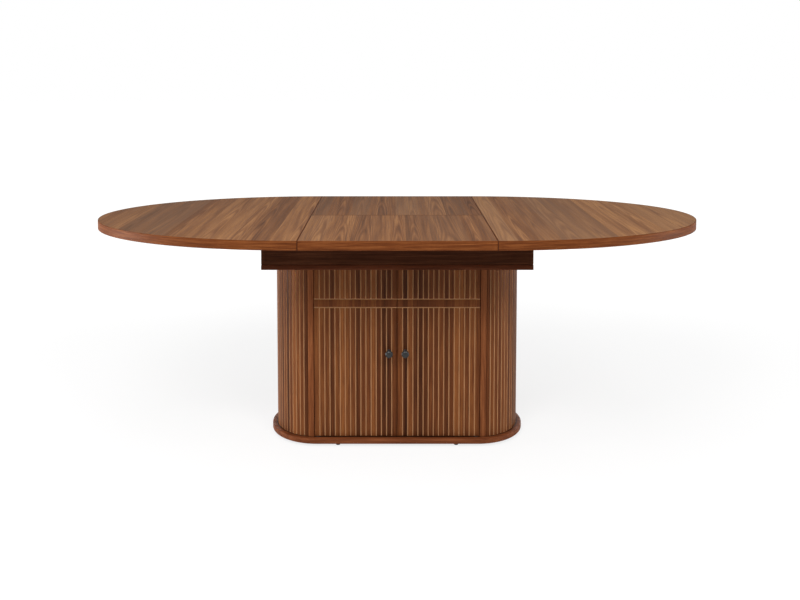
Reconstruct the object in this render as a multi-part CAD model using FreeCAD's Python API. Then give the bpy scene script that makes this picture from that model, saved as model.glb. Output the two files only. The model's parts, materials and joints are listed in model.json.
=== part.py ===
import FreeCAD, Part
import math
import os

os.makedirs("parts", exist_ok=True)
V = FreeCAD.Vector

# An oval dining table on a fluted cabinet pedestal. Two end halves slide apart on telescopic rails,
# and a leaf of two hinged flaps folds like a book and swings down into the tray between them.
# Millimetres. X runs along the table, the doors face -Y, Z = 0 is the floor.

# Table top
table_height = 770.0
top_length = 2100.0
top_width = 900.0
top_thickness = 30.0
leaf_length = 610.0
edge_band = 2.0
edge_chamfer = 1.0
leaf_side_gap = 0.4
seam_gap = 0.6
seam_chamfer = 1.0

# Leaf fold hinges, set in the ends of the seam: a link turns on the front plate, and the back plate's pin
# slides in its slot, so the flaps fold about a line just above the seam and nothing stands proud of the top
fold_pin_depth = 3.0
fold_pin_spread = 3.5
fold_pin_radius = 1.5
fold_eye_radius = 2.7
fold_link_thickness = 2.0
fold_plate_width = 6.0
fold_plate_length = 40.0
fold_plate_height = 8.0
fold_neck_length = 5.0
fold_slot_room = 0.2
fold_pin_room = 0.05
mortise_room = 0.2

# Leaf carrier: two lifting arms and two guide arms that keep the leaf level
stow_offset = 10.0
stow_clearance = 4.0
arm_pivot_height = 12.0
bracket_drop = 11.5
guide_offset = 60.0
bracket_inset = 60.0
plate_thickness = 4.0
flange_thickness = 2.5
flange_width = 30.0
bracket_end = 10.0
arm_half_width = 6.5
arm_thickness = 4.0
arm_side_gap = 0.5
stud_radius = 4.0
stud_head_radius = 6.0
stud_head_height = 2.0
stud_room = 0.1
cross_tube_radius = 6.0
cross_tube_wall = 1.5

# Telescopic slides on the inner faces of the long apron boards
slide_half_height = 12.0
slide_top_gap = 1.5
slide_wall = 1.5
slide_depth = 10.0
slide_lip = 2.5
slide_room = 0.4
slide_end_gap = 8.0
runner_wall = 2.4
runner_neck_half = 2.0
runner_plate = 2.0
runner_flange = 24.0
runner_plate_gap = 2.0
runner_screws_each = 3
rail_screws_each = 3
support_reach = 25.0
support_width = 60.0
support_length = 70.0
support_thickness = 3.0
support_stagger = 70.0

# Apron tray
tray_depth = 85.0
tray_floor_thickness = 18.0
apron_thickness = 18.0
tray_end_overhang = 14.5
stow_room = 4.5
glide_height = 2.7
glide_width = 12.0
glide_gap = 0.3
end_board_drop = 4.0
notch_room = 1.0
corner_block_size = 20.0
corner_block_height = 45.0
bumper_radius = 12.0
bumper_gap = 0.3
bumper_x = 150.0
bumper_y = 150.0

# Pedestal
foot_height = 10.0
foot_radius = 8.0
foot_base_radius = 6.5
foot_edge_inset = 20.5
foot_end_inset = 47.0
foot_arc_inset = 73.5
foot_nail_radius = 1.5
foot_nail_length = 12.0
plinth_thickness = 18.0
plinth_overhang = 18.5
plinth_chamfer = 1.5
pedestal_length = 857.0
pedestal_width = 304.0
stile_width = 20.0
stile_reach = 28.5
end_wall = 12.0
end_slats = 28
groove_width = 4.0
groove_depth = 3.0
stile_reveal = 2.0
former_thickness = 18.0
back_thickness = 18.0
back_slats = 32
shelf_thickness = 16.0
shelf_height = 322.0
shelf_front_gap = 12.0
shelf_play = 0.5
shelf_pin_radius = 2.5
shelf_pin_length = 16.0
shelf_pin_depth = 8.0
shelf_pin_inset = 40.0
frame_screw_length = 45.0
frame_screw_radius = 2.5
frame_screw_head = 5.0
frame_screw_pitch = 90.0
small_screw_length = 14.0
small_screw_radius = 1.8
small_screw_head = 3.6

# Doors
door_thickness = 18.0
door_gap = 2.0
door_slats = 16
band_bottom = 479.0
band_height = 29.0
hinge_edge_inset = 12.0
hinge_face_inset = 6.5
hinge_pin_radius = 4.0
hinge_pin_length = 24.0
hinge_pin_in_door = 14.0
hinge_pin_room = 0.05
bush_wall = 2.0
bush_flange_wall = 4.0
bush_flange_gap = 0.4
bush_floor = 1.0
knob_height = 326.0
knob_slat = 1.5
knob_projection = 35.0
knob_head_radius = 13.0
knob_stem_radius = 5.5
knob_base_radius = 8.0
knob_base_height = 2.0
knob_head_height = 14.0
knob_screw_radius = 2.0
knob_screw_head = 4.0
knob_screw_head_height = 2.4
knob_screw_bite = 10.0
catch_length = 36.0
catch_height = 14.0
catch_depth = 16.0
catch_gap = 0.4
catch_x = 40.0
strike_thickness = 1.2
strike_length = 28.0
strike_height = 12.0

# Levels and plan places that follow from the sizes above
top_underside = table_height - top_thickness
tray_floor_top = top_underside - tray_depth
tray_floor_bottom = tray_floor_top - tray_floor_thickness
plinth_top = foot_height + plinth_thickness
half_width = top_width / 2
leaf_half = leaf_length / 2
half_inner = leaf_half + leaf_side_gap
seam_edge = seam_gap / 2
pedestal_radius = pedestal_width / 2
arc_centre = pedestal_length / 2 - pedestal_radius
stile_outer = arc_centre + stile_reach
stile_inner = stile_outer - stile_width
tray_half_length = pedestal_length / 2 + tray_end_overhang
slide_stack = slide_depth + runner_plate_gap + runner_plate
apron_inner = half_width / 2 + stow_offset + stow_room + slide_stack
apron_outer = apron_inner + apron_thickness
apron_top = top_underside - glide_gap - glide_height
slide_centre = top_underside - slide_top_gap - slide_half_height
middle_half_height = slide_half_height - slide_wall - slide_room
runner_half_height = middle_half_height - slide_wall - slide_room
slide_length = tray_half_length - apron_thickness - 2 * slide_end_gap
support_middle = (apron_outer + half_width) / 2
fold_gap = 2 * (fold_pin_spread - fold_pin_depth)
fold_pin_level = table_height - fold_pin_depth
fold_line = table_height + fold_gap / 2
fold_link_travel = 2 * fold_pin_spread * (math.sqrt(2) - 1)
fold_link_tail = fold_link_travel + fold_eye_radius
fold_knuckle = fold_pin_spread + fold_eye_radius + fold_neck_length
fold_low = fold_pin_level - fold_eye_radius - fold_plate_height
fold_shelf = fold_pin_level - fold_eye_radius
leaf_drop = stow_clearance + 2 * top_thickness + fold_gap
leaf_shift = half_width / 2 + stow_offset
arm_pivot_z = tray_floor_top + arm_pivot_height
leaf_pivot_z = top_underside - bracket_drop
rest_rise = leaf_pivot_z - arm_pivot_z
stow_rise = rest_rise - leaf_drop
rise_share = (rest_rise ** 2 - stow_rise ** 2) / leaf_shift
leaf_pivot_y = -(leaf_shift - rise_share) / 2
bracket_x = leaf_half - bracket_inset
door_front = -pedestal_radius
door_back = door_front + door_thickness
door_outer = stile_inner - door_gap
door_inner = door_gap / 2
door_bottom = plinth_top + door_gap
door_top = tray_floor_bottom - door_gap
door_slat_pitch = (door_outer - door_inner) / door_slats
hinge_x = door_outer - hinge_edge_inset
hinge_y = door_front + hinge_face_inset


def block(x0, x1, y0, y1, z0, z1):
    """Board between two corners."""
    return Part.makeBox(x1 - x0, y1 - y0, z1 - z0, V(x0, y0, z0))


def prism(points, travel):
    """Straight extrusion of a closed outline."""
    return Part.Face(Part.makePolygon(points + points[:1])).extrude(travel)


def turned(points, centre, axis):
    """Solid of revolution of a closed outline that touches its axis."""
    return Part.Face(Part.makePolygon(points + points[:1])).revolve(centre, axis, 360)


def rod(radius, start, travel):
    """Round bar from a point along a vector."""
    return Part.makeCylinder(radius, travel.Length, start, travel)


def tube(outer, inner, start, travel):
    """Round bar with a through bore."""
    return rod(outer, start, travel).cut(rod(inner, start, travel))


def mirrored(shapes, normal):
    """The same pieces on the other side of the plane through the origin."""
    return [shape.mirror(V(0, 0, 0), normal) for shape in shapes]


def other_end(shapes):
    """The same pieces at the other end of the table."""
    return mirrored(shapes, V(1, 0, 0))


def other_side(shapes):
    """The same pieces on the back of the table."""
    return mirrored(shapes, V(0, 1, 0))


def both_ends(shapes):
    """The pieces and their mirror images at the other end."""
    return shapes + other_end(shapes)


def both_sides(shapes):
    """The pieces and their mirror images on the back."""
    return shapes + other_side(shapes)


def capsule(radius, thickness, first, second):
    """Flat bar with round ends, standing in a plane square to X, between two eye centres."""
    along = second - first
    across = V(1, 0, 0).cross(along)
    across.normalize()
    across.multiply(radius)
    cheek = V(thickness, 0, 0)
    corners = [first + across, second + across, second - across, first - across]
    bar = prism(corners, cheek)
    return bar.fuse([rod(radius, first, cheek), rod(radius, second, cheek)]).removeSplitter()


def countersunk_screw(place, rise, length, shank, head):
    """Flat-headed wood screw whose head lies at the place; rise is 1 for up and -1 for down."""
    neck = rise * (head - shank)
    outline = [
        V(0, 0, 0),
        V(head, 0, 0),
        V(shank, 0, neck),
        V(shank, 0, rise * length),
        V(0, 0, rise * length),
    ]
    screw = turned(outline, V(0, 0, 0), V(0, 0, 1))
    screw.translate(place)
    return screw


def small_screw(x, y, z, rise):
    """Screw that holds a metal fitting to a board."""
    return countersunk_screw(V(x, y, z), rise, small_screw_length, small_screw_radius, small_screw_head)


def stadium(length, radius, z0, z1):
    """Board with straight long sides and half-round ends."""
    straight = length / 2 - radius
    tip = length / 2
    outline = Part.Wire([
        Part.LineSegment(V(-straight, -radius, z0), V(straight, -radius, z0)).toShape(),
        Part.Arc(V(straight, -radius, z0), V(tip, 0, z0), V(straight, radius, z0)).toShape(),
        Part.LineSegment(V(straight, radius, z0), V(-straight, radius, z0)).toShape(),
        Part.Arc(V(-straight, radius, z0), V(-tip, 0, z0), V(-straight, -radius, z0)).toShape(),
    ])
    return Part.Face(outline).extrude(V(0, 0, z1 - z0))


def v_groove(along, across, start, length):
    """Prism that cuts a V groove into a front face; it stands proud by its depth, twice as wide there."""
    proud = V(0, -groove_depth, 0)
    outline = [
        start - across * groove_width + proud,
        start + across * groove_width + proud,
        start - proud,
    ]
    return prism(outline, along * length)


def half_oval(length, width, x, z0, z1):
    """Half of an ellipse in plan, flat side at x and round side towards +X."""
    ellipse = Part.Ellipse(V(x + length, 0, z0), V(x, width, z0), V(x, 0, z0))
    rim = Part.ArcOfEllipse(ellipse, -math.pi / 2, math.pi / 2).toShape()
    ends = [vertex.Point for vertex in rim.Vertexes]
    outline = Part.Wire([rim, Part.LineSegment(ends[1], ends[0]).toShape()])
    return Part.Face(outline).extrude(V(0, 0, z1 - z0))


def chamfer_rim(shape, size, wanted):
    """Chamfer the edges that the test picks."""
    return shape.makeChamfer(size, [edge for edge in shape.Edges if wanted(edge)])


def top_half(screws):
    """Right half of the top: a core board and the band round its curved edge."""
    reach = top_length / 2 - half_inner
    outer = half_oval(reach, half_width, half_inner, top_underside, table_height)
    core = half_oval(reach - edge_band, half_width - edge_band, half_inner, top_underside, table_height)

    def rounded_rim(edge):
        return isinstance(edge.Curve, Part.Ellipse)

    outer = chamfer_rim(outer, edge_chamfer, rounded_rim)
    band = outer.cut(core)
    return core.cut(screws), band


def fold_plate(sign, pocket_reach):
    """Hinge plate for one flap at the +X end of the seam; sign is -1 for the front flap, 1 for the back.

    The pocket between its cheeks lets the link's end turn, as far from the pin as the reach says.
    """
    x0 = leaf_half - fold_plate_width
    near = sign * fold_pin_spread
    knuckle = sign * fold_knuckle
    far = sign * fold_plate_length
    crown = fold_pin_level + fold_eye_radius
    outline = [
        V(x0, near, fold_low),
        V(x0, far, fold_low),
        V(x0, far, fold_shelf),
        V(x0, knuckle, fold_shelf),
        V(x0, knuckle, crown),
        V(x0, near, crown),
    ]
    cheeks = V(fold_plate_width, 0, 0)
    pin_line = V(x0, near, fold_pin_level)
    plate = prism(outline, cheeks).fuse(rod(fold_eye_radius, pin_line, cheeks)).removeSplitter()
    clear = pocket_reach + fold_slot_room
    pocket_x = x0 + (fold_plate_width - fold_link_thickness) / 2 - fold_slot_room
    pocket_width = fold_link_thickness + 2 * fold_slot_room
    pocket_y = sorted([-sign * clear, near + sign * clear])
    return plate.cut(block(pocket_x, pocket_x + pocket_width, pocket_y[0], pocket_y[1],
                           fold_pin_level - clear, table_height))


def fold_mortise(sign):
    """Recess in a flap's end for its hinge plate, open at the top only over the knuckle."""
    x0 = leaf_half - fold_plate_width - mortise_room
    x1 = leaf_half + mortise_room
    low = fold_low - mortise_room
    tail = sorted([0, sign * (fold_plate_length + mortise_room)])
    knuckle = sorted([0, sign * (fold_knuckle + mortise_room)])
    seat = block(x0, x1, tail[0], tail[1], low, fold_shelf + mortise_room)
    mouth = block(x0, x1, knuckle[0], knuckle[1], low, table_height + mortise_room)
    return seat.fuse(mouth)


def fold_pin(sign, room):
    """Pin through the cheeks of one plate at the +X end of the seam, with a room round it."""
    start = V(leaf_half - fold_plate_width, sign * fold_pin_spread, fold_pin_level)
    return rod(fold_pin_radius + room, start, V(fold_plate_width, 0, 0))


def fold_link():
    """Link at the +X end: trunnions that turn in the front plate, and a slot for the back plate's pin."""
    x0 = leaf_half - (fold_plate_width + fold_link_thickness) / 2
    first = V(x0, -fold_pin_spread, fold_pin_level)
    near = V(x0, fold_pin_spread, fold_pin_level)
    last = near + V(0, fold_link_travel, 0)
    bar = capsule(fold_eye_radius, fold_link_thickness, first, last)
    slot = capsule(fold_pin_radius + fold_pin_room, fold_link_thickness, near, last)
    return bar.cut(slot).fuse(fold_pin(-1, 0)).removeSplitter()


def fold_hinges():
    """The hinges in both ends of the seam."""
    front = fold_plate(-1, fold_eye_radius).cut(fold_pin(-1, fold_pin_room))
    back = fold_plate(1, fold_link_tail).cut(fold_pin(1, 0))
    return {
        "fold_hinge_front_plates": both_ends([front]),
        "fold_hinge_back_plates": both_ends([back]),
        "fold_hinge_links": both_ends([fold_link()]),
        "fold_hinge_pins": both_ends([fold_pin(1, 0)]),
    }


def leaf_flap(sign, screws):
    """One half of the leaf with its outer edge band; sign is -1 for the front half, 1 for the back."""
    inner = seam_edge
    outer = half_width - edge_band
    outline = [
        V(-leaf_half, sign * inner, top_underside),
        V(-leaf_half, sign * outer, top_underside),
        V(-leaf_half, sign * outer, table_height),
        V(-leaf_half, sign * (inner + seam_chamfer), table_height),
        V(-leaf_half, sign * inner, table_height - seam_chamfer),
    ]
    flap = prism(outline, V(leaf_length, 0, 0))
    band_outline = [
        V(-leaf_half, sign * outer, top_underside),
        V(-leaf_half, sign * (half_width - edge_chamfer), top_underside),
        V(-leaf_half, sign * half_width, top_underside + edge_chamfer),
        V(-leaf_half, sign * half_width, table_height - edge_chamfer),
        V(-leaf_half, sign * (half_width - edge_chamfer), table_height),
        V(-leaf_half, sign * outer, table_height),
    ]
    band = prism(band_outline, V(leaf_length, 0, 0))
    return flap.cut(both_ends([fold_mortise(sign)]) + screws), band


def bracket_plate(pivot_y, pivot_z, seat_z, screws):
    """Angle bracket at the +X end with an upright plate under or over two arm pivots."""
    y0 = pivot_y - bracket_end
    y1 = pivot_y + guide_offset + bracket_end
    reach = arm_half_width if seat_z < pivot_z else -arm_half_width
    seat = flange_thickness if seat_z < pivot_z else -flange_thickness
    plate = block(bracket_x, bracket_x + plate_thickness, y0, y1,
                  min(seat_z, pivot_z + reach), max(seat_z, pivot_z + reach))
    flange = block(bracket_x - flange_width, bracket_x + plate_thickness, y0, y1,
                   min(seat_z, seat_z + seat), max(seat_z, seat_z + seat))
    return plate.fuse(flange).removeSplitter().cut(screws)


def bracket_screws(pivot_y, seat_z, rise):
    """Two screws through a bracket flange at the +X end."""
    x = bracket_x - flange_width * 2 / 3
    ends = (pivot_y, pivot_y + guide_offset)
    return [small_screw(x, y, seat_z, rise) for y in ends]


def arm_stud(x, outward, y, z):
    """Headed stud on a bracket plate that an arm turns on."""
    length = 2 * arm_side_gap + arm_thickness
    shank = rod(stud_radius, V(x, y, z), V(outward * length, 0, 0))
    head = rod(stud_head_radius, V(x + outward * length, y, z), V(outward * stud_head_height, 0, 0))
    return shank.fuse(head).removeSplitter()


def arm(x, pivot_y):
    """Flat arm at the +X end from its tray pivot to its leaf pivot, with an eye at each end."""
    first = V(x, pivot_y, arm_pivot_z)
    second = V(x, pivot_y + leaf_pivot_y, leaf_pivot_z)
    bar = capsule(arm_half_width, arm_thickness, first, second)
    bore = stud_radius + stud_room
    return bar.cut([rod(bore, eye, V(arm_thickness, 0, 0)) for eye in (first, second)])


def leaf_carrier(tray_screws):
    """Brackets, studs, arms and cross tube that swing the leaf between its two places."""
    lift_x = bracket_x - arm_side_gap - arm_thickness
    guide_x = bracket_x + plate_thickness + arm_side_gap
    inner_face = bracket_x
    outer_face = bracket_x + plate_thickness
    leaf_screws = bracket_screws(leaf_pivot_y, top_underside - flange_thickness, 1)
    tray_studs = [
        arm_stud(inner_face, -1, 0, arm_pivot_z),
        arm_stud(outer_face, 1, guide_offset, arm_pivot_z),
    ]
    leaf_studs = [
        arm_stud(inner_face, -1, leaf_pivot_y, leaf_pivot_z),
        arm_stud(outer_face, 1, leaf_pivot_y + guide_offset, leaf_pivot_z),
    ]
    middle = V(-lift_x, leaf_pivot_y / 2, (arm_pivot_z + leaf_pivot_z) / 2)
    bore = cross_tube_radius - cross_tube_wall
    return {
        "arm_brackets": both_ends([bracket_plate(0, arm_pivot_z, tray_floor_top, tray_screws)]),
        "arm_studs": both_ends(tray_studs),
        "lifting_arms": both_ends([arm(lift_x, 0)]),
        "arm_cross_tube": [tube(cross_tube_radius, bore, middle, V(2 * lift_x, 0, 0))],
        "guide_arms": both_ends([arm(guide_x, guide_offset)]),
        "leaf_brackets": both_ends([bracket_plate(leaf_pivot_y, leaf_pivot_z, top_underside, leaf_screws)]),
        "leaf_bracket_screws": both_ends(leaf_screws),
        "leaf_studs": both_ends(leaf_studs),
    }


def lipped_channel(x, back, depth, half_height):
    """C channel along X with inturned lips, its back towards the front apron board."""
    front = back + depth
    lip = slide_lip
    points = [
        (back, -half_height),
        (front, -half_height),
        (front, -half_height + slide_wall + lip),
        (front - slide_wall, -half_height + slide_wall + lip),
        (front - slide_wall, -half_height + slide_wall),
        (back + slide_wall, -half_height + slide_wall),
        (back + slide_wall, half_height - slide_wall),
        (front - slide_wall, half_height - slide_wall),
        (front - slide_wall, half_height - slide_wall - lip),
        (front, half_height - slide_wall - lip),
        (front, half_height),
        (back, half_height),
    ]
    return prism([V(x, y, slide_centre + z) for y, z in points], V(slide_length, 0, 0))


def runner(x, screws):
    """Innermost slide member with the angle that carries a top half, on the front side."""
    back = -apron_inner + 2 * (slide_wall + slide_room)
    plate = -apron_inner + slide_depth + runner_plate_gap
    points = [
        (back, -runner_half_height),
        (back + runner_wall, -runner_half_height),
        (back + runner_wall, -runner_neck_half),
        (plate + runner_plate, -runner_neck_half),
        (plate + runner_plate, top_underside - runner_plate - slide_centre),
        (plate + runner_flange, top_underside - runner_plate - slide_centre),
        (plate + runner_flange, top_underside - slide_centre),
        (plate, top_underside - slide_centre),
        (plate, runner_neck_half),
        (back + runner_wall, runner_neck_half),
        (back + runner_wall, runner_half_height),
        (back, runner_half_height),
    ]
    return prism([V(x, y, slide_centre + z) for y, z in points], V(slide_length, 0, 0)).cut(screws)


def runner_screws(x):
    """Screws through the runner's flange on the front side."""
    y = -apron_inner + slide_depth + runner_plate_gap + runner_flange * 2 / 3
    pitch = slide_length / runner_screws_each
    z = top_underside - runner_plate
    return [small_screw(x + (i + 0.5) * pitch, y, z, 1) for i in range(runner_screws_each)]


def rail_screws():
    """Screws that hold the right-hand fixed rail to the front apron board, heads flush inside the rail."""
    pitch = slide_length / rail_screws_each
    screws = []
    for i in range(rail_screws_each):
        screw = small_screw(0, 0, 0, 1)
        screw.rotate(V(0, 0, 0), V(1, 0, 0), 90)
        screw.translate(V(slide_end_gap + (i + 0.5) * pitch, -apron_inner + slide_wall, slide_centre))
        screws.append(screw)
    return screws


def slides(rail_fixings):
    """Right-hand slide members: fixed rails, half-travelled middle rails and fully drawn runners."""
    travel = leaf_half
    face = -apron_inner
    middle_back = face + slide_wall + slide_room
    middle_depth = slide_depth - 2 * (slide_wall + slide_room)
    fixed = lipped_channel(slide_end_gap, face, slide_depth, slide_half_height).cut(rail_fixings)
    middle = lipped_channel(slide_end_gap + travel / 2, middle_back, middle_depth, middle_half_height)
    screws = runner_screws(slide_end_gap + travel)
    drawn = runner(slide_end_gap + travel, screws)
    return both_sides([fixed]), both_sides([middle]), both_sides([drawn]), both_sides(screws)


def leaf_supports(shift):
    """Plates under the right half's straight edge that carry the leaf's end; shift is away from the tray."""
    y = support_middle + shift
    x0 = leaf_half - support_reach
    plate = block(x0, x0 + support_length, -y - support_width / 2, -y + support_width / 2,
                  top_underside - support_thickness, top_underside)
    screw_x = half_inner + (x0 + support_length - half_inner) / 2
    ends = (-y - support_width / 4, -y + support_width / 4)
    screws = [small_screw(screw_x, end, top_underside - support_thickness, 1) for end in ends]
    return both_sides([plate.cut(screws)]), both_sides(screws)


def moving_tops(middle, drawn, screws):
    """Both halves of the top with what is screwed under them; supports are staggered to pass each other."""
    right_supports, right_support_screws = leaf_supports(-support_stagger / 2)
    left_supports, left_support_screws = leaf_supports(support_stagger / 2)
    right_core, right_band = top_half(screws + right_support_screws)
    left_core, left_band = top_half(screws + left_support_screws)
    return {
        "right_top_panel": [right_core],
        "right_edge_band": [right_band],
        "right_middle_rails": middle,
        "right_runners": drawn,
        "right_leaf_supports": right_supports,
        "right_top_screws": screws + right_support_screws,
        "left_top_panel": other_end([left_core]),
        "left_edge_band": other_end([left_band]),
        "left_middle_rails": other_end(middle),
        "left_runners": other_end(drawn),
        "left_leaf_supports": other_end(left_supports),
        "left_top_screws": other_end(screws + left_support_screws),
    }


def leaf(carrier):
    """The two flaps of the leaf with their edge bands."""
    front, front_band = leaf_flap(-1, carrier["leaf_bracket_screws"])
    back, back_band = leaf_flap(1, [])
    return {
        "leaf_front_panel": [front],
        "leaf_front_edge_band": [front_band],
        "leaf_back_panel": [back],
        "leaf_back_edge_band": [back_band],
    }


def frame_screws(z, rise):
    """Three screws into the end grain of each side panel, from above or below."""
    x = (stile_inner + stile_outer) / 2
    rows = (-frame_screw_pitch, 0, frame_screw_pitch)
    screws = [
        countersunk_screw(V(x, y, z), rise, frame_screw_length, frame_screw_radius, frame_screw_head)
        for y in rows
    ]
    return both_ends(screws)


def door_bush(z, rise):
    """Flanged sleeve let into a board at the +X door's pivot; rise is 1 where it is let in upwards."""
    bore = hinge_pin_radius + hinge_pin_room
    sleeve = bore + bush_wall
    depth = hinge_pin_length - hinge_pin_in_door - door_gap + bush_floor
    flange = door_gap - bush_flange_gap
    body = rod(sleeve, V(hinge_x, hinge_y, z), V(0, 0, rise * depth))
    rim = rod(bore + bush_flange_wall, V(hinge_x, hinge_y, z - rise * flange), V(0, 0, rise * flange))
    mouth = rod(bore, V(hinge_x, hinge_y, z - rise * flange), V(0, 0, rise * (flange + depth - bush_floor)))
    return body.fuse(rim).removeSplitter().cut(mouth)


def bush_seat(z, rise):
    """Hole for the sleeve of a door bush."""
    sleeve = hinge_pin_radius + hinge_pin_room + bush_wall
    depth = hinge_pin_length - hinge_pin_in_door - door_gap + bush_floor
    return rod(sleeve, V(hinge_x, hinge_y, z), V(0, 0, rise * depth))


def tray(floor_screws, rail_fixings):
    """Apron tray that carries the slides and stores the folded leaf."""
    seats = both_ends([bush_seat(tray_floor_bottom, 1)])
    floor = block(-tray_half_length, tray_half_length, -apron_outer, apron_outer,
                  tray_floor_bottom, tray_floor_top)
    floor = floor.cut(seats + floor_screws)
    front = block(-tray_half_length, tray_half_length, -apron_outer, -apron_inner, tray_floor_top, apron_top)
    front = front.cut(both_ends(rail_fixings))
    end = block(tray_half_length - apron_thickness, tray_half_length, -apron_inner, apron_inner,
                tray_floor_top, top_underside - end_board_drop)
    notch_low = slide_centre - slide_half_height - notch_room
    notch_depth = slide_stack + notch_room
    notch = block(tray_half_length - apron_thickness, tray_half_length, -apron_inner,
                  -apron_inner + notch_depth, notch_low, top_underside)
    end = end.cut(both_sides([notch]))
    inner_end = tray_half_length - apron_thickness
    corner = prism([
        V(inner_end, -apron_inner, tray_floor_top),
        V(inner_end, -apron_inner + corner_block_size, tray_floor_top),
        V(inner_end - corner_block_size, -apron_inner, tray_floor_top),
    ], V(0, 0, corner_block_height))
    glide_middle = -(apron_inner + apron_outer) / 2
    glide = block(-tray_half_length, tray_half_length, glide_middle - glide_width / 2,
                  glide_middle + glide_width / 2, apron_top, apron_top + glide_height)
    stowed_underside = top_underside - leaf_drop
    bumper_height = stowed_underside - bumper_gap - tray_floor_top
    bumper_place = V(bumper_x, bumper_y, tray_floor_top)
    bumper = Part.makeCone(bumper_radius, bumper_radius * 3 / 4, bumper_height, bumper_place)
    return {
        "tray_floor": [floor],
        "apron_front": [front],
        "apron_back": other_side([front]),
        "apron_right": [end],
        "apron_left": other_end([end]),
        "corner_blocks": both_ends(both_sides([corner])),
        "glide_strips": both_sides([glide]),
        "leaf_bumpers": both_ends(both_sides([bumper])),
    }


def on_arc(radius, angle, z):
    """Point round the right-hand end, with the angle measured from the front."""
    return V(arc_centre + radius * math.sin(angle), -radius * math.cos(angle), z)


def fluted_end():
    """Right-hand curved end wall: slats round the arc with V grooves between, and a reveal at each stile."""
    start = math.asin(stile_reach / pedestal_radius)
    pitch = (math.pi - 2 * start) / end_slats
    half_groove = groove_width / 2 / pedestal_radius
    reveal_radius = pedestal_radius - stile_reveal
    reveal_start = math.asin(stile_reach / reveal_radius)
    reveal_end = start + stile_reveal / pedestal_radius
    rim = [on_arc(reveal_radius, reveal_start, plinth_top), on_arc(pedestal_radius, reveal_end, plinth_top)]
    for i in range(1, end_slats):
        angle = start + i * pitch
        rim.append(on_arc(pedestal_radius, angle - half_groove, plinth_top))
        rim.append(on_arc(pedestal_radius - groove_depth, angle, plinth_top))
        rim.append(on_arc(pedestal_radius, angle + half_groove, plinth_top))
    rim.append(on_arc(pedestal_radius, math.pi - reveal_end, plinth_top))
    rim.append(on_arc(reveal_radius, math.pi - reveal_start, plinth_top))
    inner_radius = pedestal_radius - end_wall
    inner_start = math.asin(stile_reach / inner_radius)
    first = on_arc(inner_radius, inner_start, plinth_top)
    last = on_arc(inner_radius, math.pi - inner_start, plinth_top)
    inner = Part.Arc(last, on_arc(inner_radius, math.pi / 2, plinth_top), first).toShape()
    rim.append(last)
    outline = Part.Wire(Part.makePolygon(rim).Edges + [inner, Part.LineSegment(first, rim[0]).toShape()])
    return Part.Face(outline).extrude(V(0, 0, tray_floor_bottom - plinth_top))


def end_formers():
    """Boards inside the right-hand end, one at each level, that hold the wall to its curve."""
    radius = pedestal_radius - end_wall
    start = math.asin(stile_reach / radius)
    levels = (plinth_top, tray_floor_bottom - former_thickness)
    boards = []
    for z in levels:
        first = on_arc(radius, start, z)
        last = on_arc(radius, math.pi - start, z)
        curve = Part.Arc(first, on_arc(radius, math.pi / 2, z), last).toShape()
        outline = Part.Wire([curve, Part.LineSegment(last, first).toShape()])
        boards.append(Part.Face(outline).extrude(V(0, 0, former_thickness)))
    return boards


def fluted_back():
    """Back panel with the same vertical grooves over its whole height."""
    panel = block(-stile_inner, stile_inner, -pedestal_radius, -pedestal_radius + back_thickness,
                  plinth_top, tray_floor_bottom)
    pitch = 2 * stile_inner / back_slats
    height = tray_floor_bottom - plinth_top
    grooves = [
        v_groove(V(0, 0, 1), V(1, 0, 0), V(-stile_inner + i * pitch, -pedestal_radius, plinth_top), height)
        for i in range(1, back_slats)
    ]
    return other_side([panel.cut(grooves)])


def feet_places():
    """Plan places of the feet under the plinth."""
    x = arc_centre - foot_arc_inset
    y = pedestal_radius + plinth_overhang - foot_edge_inset
    end = pedestal_length / 2 + plinth_overhang - foot_end_inset
    return [(x, -y), (-x, -y), (x, y), (-x, y), (end, 0), (-end, 0)]


def foot(x, y):
    """Moulded glide with a nail that holds it under the plinth."""
    outline = [
        V(0, 0, 0),
        V(foot_base_radius, 0, 0),
        V(foot_radius, 0, foot_radius - foot_base_radius),
        V(foot_radius, 0, foot_height),
        V(foot_nail_radius, 0, foot_height),
        V(foot_nail_radius, 0, foot_height + foot_nail_length),
        V(0, 0, foot_height + foot_nail_length),
    ]
    glide = turned(outline, V(0, 0, 0), V(0, 0, 1))
    glide.translate(V(x, y, 0))
    return glide


def shelf_pins():
    """Pins in the right-hand side panel that the shelf lies on."""
    front = door_back + shelf_front_gap + shelf_pin_inset
    back = pedestal_radius - back_thickness - shelf_pin_inset
    z = shelf_height - shelf_pin_radius
    start = stile_inner + shelf_pin_depth
    return [rod(shelf_pin_radius, V(start, y, z), V(-shelf_pin_length, 0, 0)) for y in (front, back)]


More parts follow.
